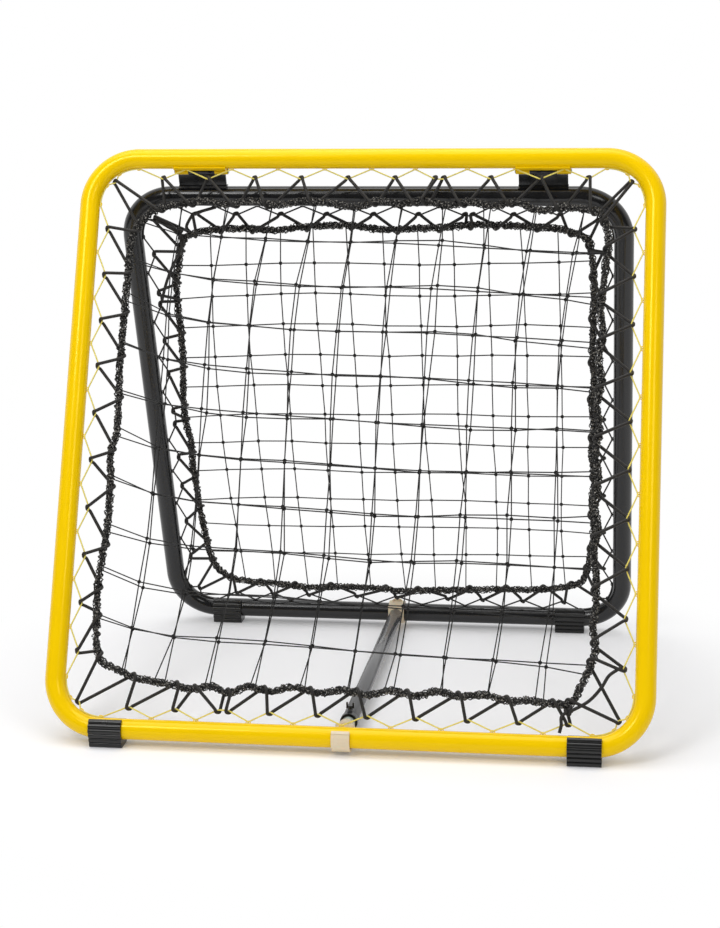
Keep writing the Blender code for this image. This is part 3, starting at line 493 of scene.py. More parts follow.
def smooth_loop(points, spacing, closed=True):
    """Evenly spaced points on a smooth curve through a list of points."""
    given = np.asarray(points, float)
    count = len(given)
    dense = []
    for k in range(count if closed else count - 1):
        four = [i % count if closed else min(max(i, 0), count - 1) for i in range(k - 1, k + 3)]
        a, b, c, d = given[four]
        for t in np.linspace(0, 1, 24, endpoint=False):
            square = (2 * a - 5 * b + 4 * c - d) * t**2
            cube = (3 * b - a - 3 * c + d) * t**3
            dense.append(0.5 * (2 * b + (c - a) * t + square + cube))
    dense.append(given[0] if closed else given[-1])
    dense = np.asarray(dense)
    run = np.concatenate([[0.0], np.cumsum(np.linalg.norm(np.diff(dense, axis=0), axis=1))])
    steps = max(3, round(run[-1] / spacing))
    marks = np.linspace(0, run[-1], steps + (0 if closed else 1), endpoint=not closed)
    return np.stack([np.interp(marks, run, dense[:, i]) for i in range(given.shape[1])], axis=1)


def hairy_rope(name, plane, rope, body, material, replaced, seed):
    """A lumpy core with the net's edge yarns bunched loosely round it, and loose hairs."""
    path = np.asarray([plane.at(x, up) for x, up in rope], float)
    side, other = carried_axes(path, True)
    length = np.linalg.norm(np.roll(path, -1, 0) - path, axis=1).sum()
    along = np.arange(len(path)) / len(path)

    def lumps(per_metre, shift):
        """How far a lump rises or falls at each point. Each shift gives other lumps."""
        start = Vector((shift, seed, 0.0))
        return np.array([noise.noise(Vector(p) * per_metre + start) for p in path])

    parts = [swept(path, CORE_RADIUS * (1 + 0.5 * lumps(CORE_LUMPS, 31.0)), CORE_SIDES)]
    for yarn in range(MESH_YARNS):
        turns = round(length / MESH_LAY) * (1 if yarn % 2 else -1)
        sway = MESH_SWAY * lumps(SWAY_LUMPS, yarn * 9.0)
        turn = (2 * pi * (turns * along + yarn / MESH_YARNS) + sway)[:, None]
        coarse = lumps(REACH_LUMPS, yarn * 5.0 + 60.0)
        fine = lumps(2 * REACH_LUMPS, yarn * 3.0 + 120.0)
        reach = (MESH_REACH + MESH_SPREAD * (coarse + 1.2 * fine))[:, None]
        line = path + reach * (side * np.cos(turn) + other * np.sin(turn))
        thickness = MESH_YARN_RADIUS * (1 + 0.35 * lumps(THICKNESS_LUMPS, yarn * 4.0 + 200.0))
        parts.append(swept(line, thickness, MESH_YARN_SIDES))
    dice = random.Random(seed)
    for _ in range(int(length * HAIRS_PER_METRE)):
        k = dice.randrange(len(path))
        turn = dice.uniform(0, 2 * pi)
        away = side[k] * cos(turn) + other[k] * sin(turn)
        drift = (path[(k + 2) % len(path)] - path[k]) * dice.uniform(-1.0, 1.0)
        root = path[k] + away * MESH_REACH * 0.9
        reach = HAIR_LENGTH * dice.uniform(0.3, 1.0)
        bend = root + away * reach * 0.7 + drift * 0.4
        tip = root + away * reach * 0.8 + drift
        parts.append(swept([root, bend, tip], HAIR_RADII, 3, False))
    return new_piece(name, parts, material, body, replaced)


def fuzzy_yarn():
    """Black polyester yarn, bunched and fluffy: matt, with painted grey highlights on the lumps."""
    material, tree, out = new_material("bunched_black_polyester_yarn")
    place = add_node(tree, "TexCoord").outputs["Object"]
    tuft_mm = 2.4
    noisy = add_node(tree, "TexNoise", {"Vector": place, "Scale": 1000 / tuft_mm, "Detail": 5.0})
    tufts = noisy.outputs["Fac"]
    # Where the lumps stand highest the black yarn is painted light grey, as painted highlights.
    painted_highlights = add_node(tree, "MapRange", {"Value": tufts, "From Min": 0.53, "From Max": 0.66}).outputs[0]
    dark, light = linear("0B0A09"), linear("96928B")
    colour = add_node(tree, "Mix", {0: painted_highlights, 6: dark, 7: light}, data_type="RGBA")
    bump = add_node(tree, "Bump", {"Height": tufts, "Strength": 0.9, "Distance": 0.0008})
    finish = {"Base Color": colour.outputs[2], "Normal": bump.outputs[0], "Roughness": 0.9}
    finish |= {"Sheen Weight": 0.08, "Sheen Roughness": 0.6}
    shader = add_node(tree, "BsdfPrincipled", finish)
    tree.links.new(shader.outputs[0], out.inputs[0])
    return material


rope_yarn = fuzzy_yarn()
front_rope = smooth_loop(np.array(FRONT_ROPE) / 1000, ROPE_STEP)
back_rope = smooth_loop(np.array(BACK_ROPE) / 1000, ROPE_STEP)
front_rope_piece = hairy_rope(
    "front_edge_rope", front, front_rope, "front_frame", rope_yarn, ["front_border_rope"], 3
)
hairy_rope("rear_edge_rope", back, back_rope, "back_frame", rope_yarn, ["back_border_rope"], 5)

# Elastic cords
# Black shock cord of 4 mm: rubber threads in a braided sheath. In each frame it hooks over every
# peak of the lace and goes once round the border rope after it, pulled tight.

BUNGEE_RADIUS = 0.00205
BUNGEE_SIDES = 10
BUNGEE_BEND = 0.0025
HOOK_HALF = 0.0022
ROPE_RADIUS = 0.0038
ROPE_GIVE = 0.8
WRAP_HALF = 0.005
LACE_INSET = 0.0272
FRONT_CORNER_INSET = 0.0200
BACK_CORNER_INSET = 0.0240
FRONT_LACE_RADIUS = 0.00095
BACK_LACE_RADIUS = 0.0011
YARNS_ROUND = 6.0

# For the bottom, right, top and left sides: each hook's place along the side and the place where
# the cord then rounds the rope, in millimetres, found like the routes. A corner's is (across, up).
FRONT_HOOKS = (
    (
        (-265, -214), (-207, -182), (-154, -146), (-141, -105), (-90, -50), (-31, 7),
        (29, 68), (88, 135), (150, 192), (211, 250), (270, 281),
    ),
    (
        (93, 128), (153, 187), (214, 243), (274, 303), (334, 363), (394, 424),
        (454, 486), (515, 544), (576, 606), (636, 657),
    ),
    (
        (276, 236), (216, 176), (154, 113), (95, 79), (84, 54), (33, -2), (-27, -68),
        (-87, -122), (-147, -178), (-208, -234), (-266, -281),
    ),
    (
        (634, 579), (573, 526), (513, 468), (454, 412), (393, 350), (333, 298),
        (272, 229), (212, 173), (153, 137), (93, 81),
    ),
)
FRONT_CORNER_WRAPS = ((300, 98), (284, 658), (-300, 636), (-263, 60))
BACK_HOOKS = (
    (
        (-233, -201), (-180, -151), (-128, -95), (-58, -19), (0, 30), (73, 104),
        (123, 156), (180, 210), (238, 256),
    ),
    (
        (84, 114), (144, 174), (204, 234), (264, 294), (324, 354), (384, 412),
        (442, 475), (504, 536), (570, 584),
    ),
    (
        (239, 209), (180, 156), (128, 123), (118, 82), (58, 28), (0, -30), (-61, -91),
        (-121, -160), (-180, -204), (-234, -246),
    ),
    (
        (565, 528), (508, 498), (491, 448), (436, 399), (385, 337), (327, 314),
        (306, 262), (253, 222), (206, 172), (147, 112), (87, 74),
    ),
)
BACK_CORNER_WRAPS = ((272, 84), (254, 604), (-262, 572), (-243, 52))

# A hook of the elastic cord over the lace, and the spot near which it then rounds the rope. side
# is the side that it belongs to, and corner the centre of the bend for a hook in a corner.
Hook = namedtuple("Hook", "tip inward wrap side corner")


def lace_hooks(plane, sides, corner_wraps, corner_inset):
    """The hooks, anticlockwise from the bottom left, from places in millimetres."""
    half = plane.width / 2
    found = []
    for side, pairs in enumerate(sides):
        inward = Vector(((0, 1), (-1, 0), (0, -1), (1, 0))[side])
        level = ((0, 0), (half, 0), (0, plane.height), (-half, 0))[side]
        across = Vector((1, 0)) if side in (0, 2) else Vector((0, 1))
        base = Vector(level) + inward * LACE_INSET
        for place, wrap in pairs:
            tip = base + across * (place / 1000)
            found.append(Hook(tip, inward, base + across * (wrap / 1000), side, None))
        x = (half - plane.corner) * (1 if side in (0, 1) else -1)
        centre = Vector((x, plane.corner if side in (0, 3) else plane.height - plane.corner))
        diagonal = (inward + Vector((-inward.y, inward.x))).normalized()
        tip = centre - diagonal * (plane.corner - corner_inset)
        found.append(Hook(tip, diagonal, Vector(corner_wraps[side]) / 1000, side, centre))
    return found


def rope_near(rope, spot):
    """The place on the rope's line nearest a spot, and the rope's direction there."""
    gaps = np.linalg.norm(rope - np.asarray(spot)[None], axis=1)
    k = int(gaps.argmin())
    ahead = Vector(rope[(k + 2) % len(rope)] - rope[k - 2]).normalized()
    return Vector(rope[k]), ahead


def closed_cord(plane, path, radius, sides, bend, steps):
    """A cord along a closed path of straight runs (x, up, out), rounded where it turns."""
    given = [plane.at(*spot) for spot in path]
    count = len(given)
    rounded = []
    for k, here in enumerate(given):
        before, after = given[k - 1] - here, given[(k + 1) % count] - here
        enter = here + before.normalized() * min(bend, before.length * 0.45)
        leave = here + after.normalized() * min(bend, after.length * 0.45)
        for i in range(steps + 1):
            t = i / steps
            rounded.append(tuple(enter * (1 - t) ** 2 + here * (2 * t * (1 - t)) + leave * t**2))
    return swept(rounded, radius, sides)


def elastic_parts(plane, hooks, rope, lace_radius, first_side):
    """The elastic cord, over the lace from its first side and back, then round the rope."""
    behind = lace_radius + BUNGEE_RADIUS
    round_rope = ROPE_RADIUS + BUNGEE_RADIUS * ROPE_GIVE
    path = []
    for hook in hooks:
        along = Vector((hook.inward.y, -hook.inward.x)) * HOOK_HALF
        for aside, back_off, out in ((-1, 0, 1), (-1, 1, 0.6), (1, 1, -0.6), (1, 0, -1)):
            spot = hook.tip + along * aside - hook.inward * (behind * back_off)
            path.append((spot.x, spot.y, first_side * behind * out))
        centre, ahead = rope_near(rope, hook.wrap)
        inside = Vector((-ahead.y, ahead.x))
        for step in range(-3, 4):
            angle = step * pi / 6
            spot = centre + ahead * (WRAP_HALF * step / 3)
            spot = spot + inside * (round_rope * cos(angle))
            path.append((spot.x, spot.y, first_side * round_rope * sin(angle)))
    return [closed_cord(plane, path, BUNGEE_RADIUS, BUNGEE_SIDES, BUNGEE_BEND, 5)]


def braided_cord(name, dark, light, braid_mm, roughness):
    """Cord whose yarns cross round it, painted lighter on their crests as highlights and darker
    between them as shade, a little frayed and matt.
    """
    material, tree, out = new_material(name)
    place = add_node(tree, "UVMap", uv_map="round_and_along").outputs[0]
    waves = []
    for turn in (1, -1):
        scale = (YARNS_ROUND * turn, 1000 / braid_mm, 1.0)
        lean = add_node(tree, "Mapping", {"Vector": place, "Scale": scale})
        apart = add_node(tree, "SeparateXYZ", {0: lean.outputs[0]}).outputs
        total = add_node(tree, "Math", {0: apart[0], 1: apart[1]}, operation="ADD").outputs[0]
        turned = add_node(tree, "Math", {0: total, 1: 2 * pi}, operation="MULTIPLY").outputs[0]
        waves.append(add_node(tree, "Math", {0: turned}, operation="SINE").outputs[0])
    yarns = add_node(tree, "Math", {0: waves[0], 1: waves[1]}, operation="MAXIMUM").outputs[0]
    share = add_node(tree, "MapRange", {"Value": yarns, "From Min": -1.0, "From Max": 1.0})
    fray_mm = 2.5
    here = add_node(tree, "TexCoord").outputs["Object"]
    fray = add_node(tree, "TexNoise", {"Vector": here, "Scale": 1000 / fray_mm, "Detail": 4.0})
    both = {0: share.outputs[0], 1: fray.outputs["Fac"]}
    # The crossing pattern paints a highlight on each yarn's crest and shade between them; the fray
    # noise varies it at random.
    painted_crest_light_and_fray = add_node(tree, "Math", both, operation="MULTIPLY").outputs[0]
    shades = {0: painted_crest_light_and_fray, 6: linear(dark), 7: linear(light)}
    colour = add_node(tree, "Mix", shades, data_type="RGBA")
    bump = add_node(tree, "Bump", {"Height": painted_crest_light_and_fray, "Strength": 0.5, "Distance": 0.0003})
    finish = {"Base Color": colour.outputs[2], "Normal": bump.outputs[0], "Roughness": roughness}
    finish |= {"Sheen Weight": 0.04, "Sheen Roughness": 0.5}
    shader = add_node(tree, "BsdfPrincipled", finish)
    tree.links.new(shader.outputs[0], out.inputs[0])
    return material


shock_cord = braided_cord("black_braided_shock_cord", "0F0D0B", "2B2723", 2.4, 0.6)
front_hooks = lace_hooks(front, FRONT_HOOKS, FRONT_CORNER_WRAPS, FRONT_CORNER_INSET)
back_hooks = lace_hooks(back, BACK_HOOKS, BACK_CORNER_WRAPS, BACK_CORNER_INSET)
front_elastic = new_piece(
    "front_shock_cord",
    elastic_parts(front, front_hooks, front_rope, FRONT_LACE_RADIUS, 1),
    shock_cord,
    "front_frame",
    ["front_bungee"],
)
new_piece(
    "rear_shock_cord",
    elastic_parts(back, back_hooks, back_rope, BACK_LACE_RADIUS, -1),
    shock_cord,
    "back_frame",
    ["back_bungee"],
)

# Knots and tails
# Each elastic cord is one length whose ends are tied together: the front one beside the last hook
# of the bottom run, the rear one in the top left corner. The ends are left hanging.

# The free ends' routes and the knots' places: (x, up, out) in millimetres.
FRONT_TIES = (
    ((270, 42, 2), (276, 43, 4), (294, 54, 5), (308, 70, 5), (317, 85, 4), (331, 95, 2)),
    ((269, 41, 2), (262, 34, 5), (262, 24, 6), (260, 15, 5)),
)
FRONT_KNOT = (270, 41, 2)
BACK_TIES = (
    ((-289, 620, 2), (-272, 612, 4), (-258, 600, 4)),
    ((-286, 616, 3), (-270, 606, 5), (-258, 599, 5)),
    ((-236, 624, 2), (-246, 607, 4), (-242, 598, 3)),
    ((-236, 624, 3), (-220, 629, 3), (-205, 633, 2)),
    ((-256, 599, 5), (-252, 589, 6), (-253, 579, 6)),
    (
        (-257, 598, 5), (-255, 588, 7), (-255, 579, 7), (-260, 568, 6), (-272, 547, 5),
        (-283, 522, 4), (-291, 498, 3),
    ),
)
BACK_KNOT = (-257, 599, 5)
TIE_STEP = 0.0015
KNOT_STEPS = 36
KNOT_LOOP_MM = 1.5
KNOT_DEPTH_MM = 1.9
KNOT_THINNER = 0.95


def tie_parts(plane, ties, tied_at):
    """The free ends, and the overhand knot that they leave."""
    parts = []
    for tie in ties:
        line = smooth_loop([plane.at(*(v / 1000 for v in spot)) for spot in tie], TIE_STEP, False)
        parts.append(swept(line, BUNGEE_RADIUS, BUNGEE_SIDES, False))
    loops = []
    for k in range(KNOT_STEPS):
        turn = 2 * pi * k / KNOT_STEPS
        x = tied_at[0] + KNOT_LOOP_MM * (sin(turn) + 2 * sin(2 * turn))
        up = tied_at[1] + KNOT_LOOP_MM * (cos(turn) - 2 * cos(2 * turn))
        out = tied_at[2] - KNOT_DEPTH_MM * sin(3 * turn)
        loops.append(plane.at(x / 1000, up / 1000, out / 1000))
    parts.append(swept(loops, BUNGEE_RADIUS * KNOT_THINNER, BUNGEE_SIDES))
    return parts


front_ends = tie_parts(front, FRONT_TIES, FRONT_KNOT)
front_tails = new_piece("front_cord_tails", front_ends, shock_cord, "front_frame")
rear_ends = tie_parts(back, BACK_TIES, BACK_KNOT)
new_piece("rear_cord_tails", rear_ends, shock_cord, "back_frame")

# Laces and staples
# A thin twisted cord, yellow in front and black behind, runs from staple to staple and out to each
# hook of the elastic cord. The staples are bent wire, welded on and coated with the frame.

LACE_PITCH = 0.060
LACE_SIDES = 8
LACE_BEND = 0.002
STAPLE_SPAN = 0.0062
STAPLE_STAND = 0.0024
STAPLE_WIRE = 0.0006
STAPLE_STEP = 0.0006
STAPLE_APART = radians(13.0)
LACE_UNDER_STAPLE = 0.22
BEND_STEPS = 5

# Half a staple's bow, from its middle, as shares of its span and of its stand off the tube.
STAPLE_BOW = ((0.2, 1.0), (0.36, 0.7), (0.5, -0.3))


def lace_line(plane, hooks, radius):
    """The lace's path (x, up, out) and the place, along and inward of each staple it passes.

    Round a bend it lies along the tube to a staple on either side of the corner's hook."""
    path = []
    staples = []
    seat = TUBE_RADIUS + STAPLE_STAND - STAPLE_WIRE - radius

    def pass_staple(foot, along, into):
        for side in (-1, 1):
            spot = foot + along * (side * STAPLE_SPAN * LACE_UNDER_STAPLE) + into * seat
            path.append((spot.x, spot.y, 0.0))
        staples.append((foot, along, into))

    def follow_bend(corner, first, last):
        for k in range(BEND_STEPS + 1):
            angle = first + (last - first) * k / BEND_STEPS
            into = -Vector((cos(angle), sin(angle)))
            foot = corner - into * plane.corner
            if k in (0, BEND_STEPS):
                pass_staple(foot, Vector((into.y, -into.x)), into)
            else:
                spot = foot + into * seat
                path.append((spot.x, spot.y, 0.0))

    for k, hook in enumerate(hooks):
        later = hooks[(k + 1) % len(hooks)]
        path.append((hook.tip.x, hook.tip.y, 0.0))
        start = -pi / 2 + hook.side * pi / 2
        if later.corner:
            follow_bend(later.corner, start, start + pi / 4 - STAPLE_APART)
        elif hook.corner:
            follow_bend(hook.corner, start + pi / 4 + STAPLE_APART, start + pi / 2)
        elif (later.tip - hook.tip).length > LACE_PITCH / 2:
            middle = hook.tip.lerp(later.tip, 0.5)
            along = Vector((-hook.inward.y, hook.inward.x))
            pass_staple(middle - hook.inward * LACE_INSET, along, hook.inward)
    return path, staples


def staple_parts(plane, staples):
    """A bow of wire for each staple, with both ends in the tube's wall."""
    parts = []
    shape = [(-share, stand) for share, stand in reversed(STAPLE_BOW)] + list(STAPLE_BOW)
    for foot, along, into in staples:
        bow = []
        for share, stand in shape:
            rise = STAPLE_STAND * stand
            spot = foot + along * (share * STAPLE_SPAN) + into * (TUBE_RADIUS + rise)
            bow.append(plane.at(spot.x, spot.y))
        parts.append(swept(smooth_loop(bow, STAPLE_STEP, False), STAPLE_WIRE, 8, False))
    return parts


# A twine's strands run one way round. Crossed yarns stand in for them, as fine specks of painted
# highlight.
yellow_twine = braided_cord("yellow_twisted_polyester_twine", "DDCB4C", "F6EA8C", 1.6, 0.55)
black_twine = braided_cord("black_twisted_polyester_twine", "121110", "2E2B28", 1.8, 0.6)
front_path, front_staples = lace_line(front, front_hooks, FRONT_LACE_RADIUS)
back_path, back_staples = lace_line(back, back_hooks, BACK_LACE_RADIUS)
front_lace = new_piece(
    "front_lacing",
    [closed_cord(front, front_path, FRONT_LACE_RADIUS, LACE_SIDES, LACE_BEND, 3)],
    yellow_twine,
    "front_frame",
    ["front_lace"],
)
new_piece(
    "rear_lacing",
    [closed_cord(back, back_path, BACK_LACE_RADIUS, LACE_SIDES, LACE_BEND, 3)],
    black_twine,
    "back_frame",
    ["back_lace"],
)
front_bows = staple_parts(front, front_staples)
new_piece("front_staples", front_bows, yellow_coat, "front_frame")
rear_bows = staple_parts(back, back_staples)
new_piece("rear_staples", rear_bows, black_coat, "back_frame")

# Nets
# Knotted polyester netting with square meshes, tied to the border rope. The front frame carries
# two layers that don't lie quite on each other; the rear one carries one.

NET_TWINE = 0.00082
NET_SIDES = 6
KNOT_RADIUS = 0.0017
KNOT_TWINE = NET_TWINE * 1.25
KNOT_SQUAT = 0.85
KNOT_RISE = 0.0007
WANDER_PER_METRE = 6
JITTER_PER_METRE = 40
JITTER = 0.0016
FRONT_CORDS = 10
FRONT_PITCH_X = 0.0559
FRONT_PITCH_UP = 0.0568
FRONT_FIRST_X = -0.2545
FRONT_FIRST_UP = 0.104
FRONT_LEAN = 0.013
FRONT_LEFT_LIFT = 0.014
FRONT_LIFTED_COLUMNS = 1.2
FRONT_FALL = 0.0014
BACK_CORDS = 11
BACK_PITCH_X = 0.0459
BACK_PITCH_UP = 0.0454
BACK_FIRST_X = -(BACK_CORDS - 1) / 2 * BACK_PITCH_X + 0.009
BACK_FIRST_UP = 0.0987
BACK_BOW = 0.010
BACK_SLOPE = 0.008


def loosened(x, up, seed, drift):
    """A knot's place moved a little, as in a net hung by hand.

    Plain noise is the same in every run, where noise_vector starts from the clock."""
    moved = []
    for value, shift in ((x, 0.0), (up, 20.0)):
        slow = Vector((x * WANDER_PER_METRE, up * WANDER_PER_METRE, seed + shift))
        quick = Vector((x * JITTER_PER_METRE, up * JITTER_PER_METRE, seed + shift + 5.0))
        moved.append(value + noise.noise(slow) * drift + noise.noise(quick) * JITTER)
    return Vector(moved)


def front_net_spots(seed, drift):
    """The front net's knots. Its left edge is pulled up, and its columns lean at top and bottom."""
    middle = (FRONT_CORDS - 1) / 2
    spots = {}
    for i in range(FRONT_CORDS):
        lift = FRONT_LEFT_LIFT * exp(-i / FRONT_LIFTED_COLUMNS) - FRONT_FALL * (i - middle)
        for j in range(FRONT_CORDS):
            x = FRONT_FIRST_X + i * FRONT_PITCH_X + FRONT_LEAN * ((j - middle) / middle) ** 3
            up = FRONT_FIRST_UP + j * FRONT_PITCH_UP + lift
            spots[i, j] = loosened(x, up, seed, drift)
    return spots


def back_net_spots(seed, drift):
    """The rear net's knots, nearly square. Its left column bows out at mid height."""
    spots = {}
    for i in range(BACK_CORDS):
        for j in range(BACK_CORDS):
            bow = BACK_BOW * sin(pi * j / (BACK_CORDS - 1)) * exp(-i)
            x = BACK_FIRST_X + i * BACK_PITCH_X - bow
            up = BACK_FIRST_UP + j * BACK_PITCH_UP + BACK_SLOPE * x
            spots[i, j] = loosened(x, up, seed, drift)
    return spots


def run_out(rope, inner, outer, aside):
    """The rope point that a cord reaches when it runs on from outer, away from inner.

    aside turns it a little, as where a layer is tied on beside the other."""
    ahead = (outer - inner).normalized()
    ahead = (ahead + Vector((-ahead.y, ahead.x)) * aside).normalized()
    best = None
    for k in range(0, len(rope), 2):
        spot = Vector(rope[k]) - outer
        forward = spot.dot(ahead)
        if forward <= 0:
            continue
        miss = (spot - ahead * forward).length
        if best is None or miss < best[0]:
            best = (miss, Vector(rope[k]))
    return best[1]


def knot(plane, spot, out):
    """Nearly two turns of twine drawn tight round a crossing."""
    path = []
    for k in range(15):
        turn = 2 * pi * k / 8
        wide = KNOT_RADIUS * (1.0 - 0.25 * cos(turn * 2))
        point = plane.at(spot.x, spot.y, out) + Vector((1, 0, 0)) * (wide * cos(turn))
        point = point + plane.up * (wide * sin(turn) * KNOT_SQUAT)
        path.append(point + plane.out * (KNOT_RISE * sin(turn * 1.5)))
    return swept(path, KNOT_TWINE, 5, False)


def net_parts(plane, spots, cords, rope, out, rise, fan, seed):
    """The cords, each from rope to rope through its knots, and the knots.

    rise is how much steeper a row ends at the left, and fan how far an end may turn aside."""
    lines = []
    for i in range(cords):
        lines.append(([spots[i, j] for j in range(cords)], 0.0))
        lines.append(([spots[j, i] for j in range(cords)], -rise))
    parts = []
    dice = random.Random(seed)
    for line, steeper in lines:
        first = run_out(rope, line[1], line[0], steeper + dice.uniform(-fan, fan))
        last = run_out(rope, line[-2], line[-1], dice.uniform(-fan, fan))
        path = []
        whole = [first, *line, last]
        for k, spot in enumerate(whole[:-1]):
            for t in (0.0, 0.5):
                point = spot.lerp(whole[k + 1], t)
                path.append(plane.at(point.x, point.y, out))
        path.append(plane.at(last.x, last.y, out))
        parts.append(swept(path, NET_TWINE, NET_SIDES, False))
    parts += [knot(plane, spot, out) for spot in spots.values()]
    return parts


net_twine = braided_cord("black_net_twine", "0A0908", "1A1816", 1.2, 0.65)
near_spots = front_net_spots(seed=1.0, drift=0.0045)
far_spots = front_net_spots(seed=9.0, drift=0.0120)
rear_spots = back_net_spots(seed=4.0, drift=0.0050)
near = {"out": 0.0012, "rise": 0.16, "fan": 0.03, "seed": 11}
far = {"out": -0.0018, "rise": 0.16, "fan": 0.14, "seed": 12}
rear = {"out": 0.0, "rise": 0.0, "fan": 0.04, "seed": 13}
front_net = new_piece(
    "front_netting",
    net_parts(front, near_spots, FRONT_CORDS, front_rope, **near)
    + net_parts(front, far_spots, FRONT_CORDS, front_rope, **far),
    net_twine,
    "front_frame",
    ["front_net"],
)
new_piece(
    "rear_netting",
    net_parts(back, rear_spots, BACK_CORDS, back_rope, **rear),
    net_twine,
    "back_frame",
    ["back_net"],
)

# The front frame's soft pieces each get a mesh of their own.

for piece in (front_elastic, front_tails, front_rope_piece, front_net):
    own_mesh(piece)
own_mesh(front_lace)

# Stay
# A telescopic bar: a grey powder coated outer tube over a bright plated inner one, clamped by a
# black wing screw beside a black end collar. Cream nylon clips join it to the frames.

STAY_RADIUS = 0.0095
STAY_WALL = 0.0011
STAY_SIDES = 56
INNER_RADIUS = 0.0080
INNER_BORE = 0.0070
LOCK_PLACE = -0.188
BOSS_RADIUS = 0.0042
BOSS_SIDES = 28
BOSS_FOOT = STAY_RADIUS - 0.0008
BOSS_TOP = STAY_RADIUS + 0.0024
COLLAR_EDGE = 0.0003
MOULDED_EDGE = 0.0004


def turned(profile, height):
    """A ring turned about a line along Y at a height, from a closed (radius, y) profile."""
    points = []
    for k in range(STAY_SIDES):
        turn = 2 * pi * k / STAY_SIDES
        for radius, y in profile:
            points.append((radius * cos(turn), y, height + radius * sin(turn)))
    count = len(profile)
    faces = []
    for k in range(STAY_SIDES):
        start, after = k * count, (k + 1) % STAY_SIDES * count
        for j in range(count):
            later = (j + 1) % count
            faces.append((start + j, start + later, after + later, after + j))
    return points, faces, []


# Black nylon has the rubber's mould grain. Undyed nylon is a little clear, with a soft sheen.
grey_coat = skin("satin_dark_grey_powder_coat", ("565658", "626264"), **SATIN)
nylon = skin("moulded_black_nylon", ("141415", "1F1F20"), **MOULDED)
cream = skin(
    "moulded_natural_nylon",
    ("DCC9A8", "E8DABE"),
    patch=(9.0, 4.0),
    grain=(0.5, 2.0),
    relief=0.12,
    sockets={
        "IOR": 1.53, "Roughness": 0.42, "Subsurface Weight": 0.15, "Subsurface Scale": 0.002,
    },
)
stay_low, stay_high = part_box("stay_outer_tube")
inner_low, inner_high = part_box("stay_inner_tube")
height = back.base.z
outer_profile = (
    (STAY_RADIUS - 0.0003, stay_low[1]),
    (STAY_RADIUS, stay_low[1] + 0.0004),
    (STAY_RADIUS, stay_high[1] - 0.0004),
    (STAY_RADIUS - 0.0003, stay_high[1]),
    (STAY_RADIUS - STAY_WALL, stay_high[1]),
    (STAY_RADIUS - STAY_WALL, stay_low[1]),
)
outer_stay = new_piece(
    "stay_outer_bar",
    [turned(outer_profile, height)],
    grey_coat,
    "stay",
    ["stay_outer_tube"],
)
settle_normals(outer_stay)
boss_line = [(0.0, LOCK_PLACE, height + BOSS_FOOT), (0.0, LOCK_PLACE, height + BOSS_TOP)]
boss = swept(boss_line, BOSS_RADIUS, BOSS_SIDES, False)
new_piece("stay_lock_boss", [boss], grey_coat, "stay")
inner_profile = (
    (INNER_RADIUS - 0.0002, inner_low[1]),
    (INNER_RADIUS, inner_low[1] + 0.0003),
    (INNER_RADIUS, inner_high[1]),
    (INNER_BORE, inner_high[1]),
    (INNER_BORE, inner_low[1]),
)
inner_stay = new_piece(
    "stay_inner_bar",
    [turned(inner_profile, height)],
    zinc,
    "stay",
    ["stay_inner_tube"],
)
settle_normals(inner_stay)
dress("stay_collar", nylon, COLLAR_EDGE)
dress("stay_lock_screw", nylon, MOULDED_EDGE)
dress("stay_rear_clip", cream, MOULDED_EDGE)
dress("stay_front_clip", cream, MOULDED_EDGE)

# Studio
# A plain pale floor that fades into a white backdrop, three soft boxes, and the camera where the
# photograph was taken from.

CAMERA_PLACE = Vector((0.382, -2.585, 0.908))
CAMERA_YAW = radians(8.67)
CAMERA_PITCH = radians(13.13)
CAMERA_ROLL = radians(-0.85)
FOCAL_PX = 2082.0
FRAME_HEIGHT_PX = 928.0
SENSOR_MM = 36.0

level = cos(CAMERA_PITCH)
ahead = (-sin(CAMERA_YAW) * level, cos(CAMERA_YAW) * level, -sin(CAMERA_PITCH))
ahead = Vector(ahead)
right = Vector((cos(CAMERA_YAW), sin(CAMERA_YAW), 0.0))
upright = right.cross(ahead)
across = right * cos(CAMERA_ROLL) + upright * sin(CAMERA_ROLL)
above = -right * sin(CAMERA_ROLL) + upright * cos(CAMERA_ROLL)
camera_data = bpy.data.cameras.new("studio_camera")
camera_data.sensor_width = SENSOR_MM
camera_data.lens = SENSOR_MM * FOCAL_PX / FRAME_HEIGHT_PX
camera = bpy.data.objects.new("studio_camera", camera_data)
bpy.context.scene.collection.objects.link(camera)
turn = Matrix((across, above, -ahead)).transposed().to_4x4()
camera.matrix_world = Matrix.Translation(CAMERA_PLACE) @ turn
bpy.context.scene.camera = camera


def soft_light(name, place, target, size, power):
    """A square soft box aimed at a point."""
    data = bpy.data.lights.new(name, "AREA")
    data.shape = "SQUARE"
    data.size = size
    data.energy = power
    lamp = bpy.data.objects.new(name, data)
    lamp.location = place
    lamp.rotation_euler = (Vector(target) - Vector(place)).to_track_quat("-Z", "Y").to_euler()
    bpy.context.scene.collection.objects.link(lamp)


def any_ray(tree, kinds):
    """1 for a ray of any of these kinds, and 0 for others."""
    rays = add_node(tree, "LightPath").outputs
    found = rays[kinds[0]]
    for kind in kinds[1:]:
        found = add_node(tree, "Math", {0: found, 1: rays[kind]}, operation="MAXIMUM").outputs[0]
    return found


soft_light("overhead_soft_box", (-0.3, -0.2, 2.9), (0, 0, 0.2), size=2.2, power=41)
soft_light("left_soft_box", (-1.05, -1.9, 2.3), (0, 0, 0.3), size=0.8, power=20)
soft_light("right_soft_box", (1.2, -1.8, 1.6), (0, 0, 0.3), size=0.7, power=6)

FLOOR_RADIUS = 2.2
FLOOR_SIDES = 64
FLOOR_GAP = 0.0002
FLOOR_LIFT = 0.07
FADE_FROM = 0.34
FADE_TO = 0.62
FADE_CENTRE = (0.0, 0.05, 0.0)
FADE_OVAL = (0.96, 1.0, 1.0)
WHITE = (1.0, 1.0, 1.0, 1.0)

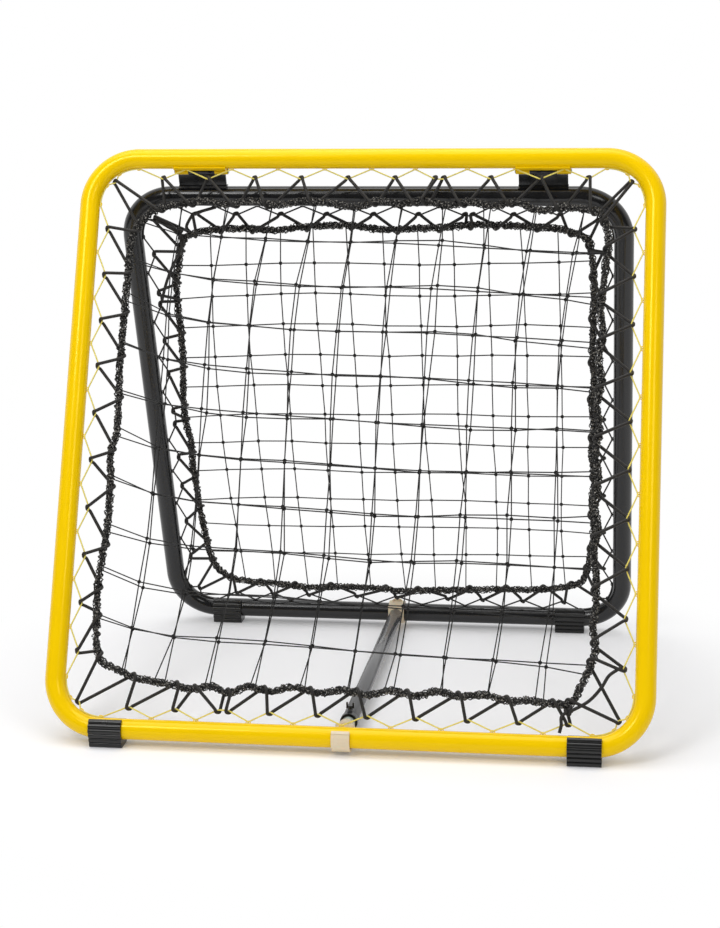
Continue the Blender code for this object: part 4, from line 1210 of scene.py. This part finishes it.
floor_mesh = bpy.data.meshes.new("pale_floor")
rim = [2 * pi * k / FLOOR_SIDES for k in range(FLOOR_SIDES)]
floor_points = [(FLOOR_RADIUS * cos(a), FLOOR_RADIUS * sin(a), 0.0) for a in rim]
floor_mesh.from_pydata(floor_points, [], [tuple(range(FLOOR_SIDES))])
floor = bpy.data.objects.new("pale_floor", floor_mesh)
floor.location.z = cad_box[0][2] - FLOOR_GAP
bpy.context.scene.collection.objects.link(floor)

# Matt white paint. Where it is seen or mirrored it is lifted a little, and fades to plain white
# away from the object; the light that it sends onto the object stays as it is.
floor_paint, tree, out = new_material("white_studio_floor")
place = add_node(tree, "TexCoord").outputs["Object"]
oval = add_node(tree, "Mapping", {"Vector": place, "Location": FADE_CENTRE, "Scale": FADE_OVAL})
away = add_node(tree, "VectorMath", {0: oval.outputs[0]}, operation="LENGTH").outputs["Value"]
limits = {"Value": away, "From Min": FADE_FROM, "From Max": FADE_TO}
faded = add_node(tree, "MapRange", limits, interpolation_type="SMOOTHSTEP").outputs[0]
seen = any_ray(tree, ["Is Camera Ray", "Is Glossy Ray", "Is Transmission Ray"])
lift = add_node(tree, "Math", {0: seen, 1: FLOOR_LIFT}, operation="MULTIPLY").outputs[0]
paint = {"Base Color": linear("F4F4F6"), "Roughness": 0.9, "Emission Color": WHITE}
painted = add_node(tree, "BsdfPrincipled", {**paint, "Emission Strength": lift}).outputs[0]
white = add_node(tree, "Emission", {"Color": WHITE, "Strength": 1.0}).outputs[0]
share = add_node(tree, "Math", {0: faded, 1: seen}, operation="MULTIPLY").outputs[0]
whole = add_node(tree, "MixShader", {0: share, 1: painted, 2: white})
tree.links.new(whole.outputs[0], out.inputs[0])
floor_mesh.materials.append(floor_paint)

# The backdrop is white to the eye. The room behind the camera is darker than it, so that gloss
# shows dark bands, and the light that the backdrop gives off is less than its white.
ROOM_DARK = 0.10
ROOM_TURN = 0.25
ROOM_LIGHT = 0.45

world = bpy.data.worlds.new("studio_world")
bpy.context.scene.world = world
world.use_nodes = True
tree = world.node_tree
tree.nodes.clear()
toward = add_node(tree, "SeparateXYZ", {0: add_node(tree, "TexCoord").outputs["Generated"]})
limits = {"Value": toward.outputs[1], "From Min": -ROOM_TURN, "From Max": ROOM_TURN}
limits["To Min"] = ROOM_DARK
room = add_node(tree, "MapRange", limits, interpolation_type="SMOOTHSTEP").outputs[0]
mirror = any_ray(tree, ["Is Glossy Ray", "Is Transmission Ray"])
eye = any_ray(tree, ["Is Camera Ray"])
glow = add_node(tree, "Mix", {0: mirror, 2: ROOM_LIGHT, 3: room}, data_type="FLOAT").outputs[0]
strength = add_node(tree, "Mix", {0: eye, 2: glow, 3: 1.0}, data_type="FLOAT").outputs[0]
sky = add_node(tree, "Background", {"Color": WHITE, "Strength": strength})
surface = tree.nodes.new("ShaderNodeOutputWorld")
tree.links.new(sky.outputs[0], surface.inputs[0])
bpy.context.scene.view_settings.view_transform = "Standard"

bpy.context.view_layer.update()
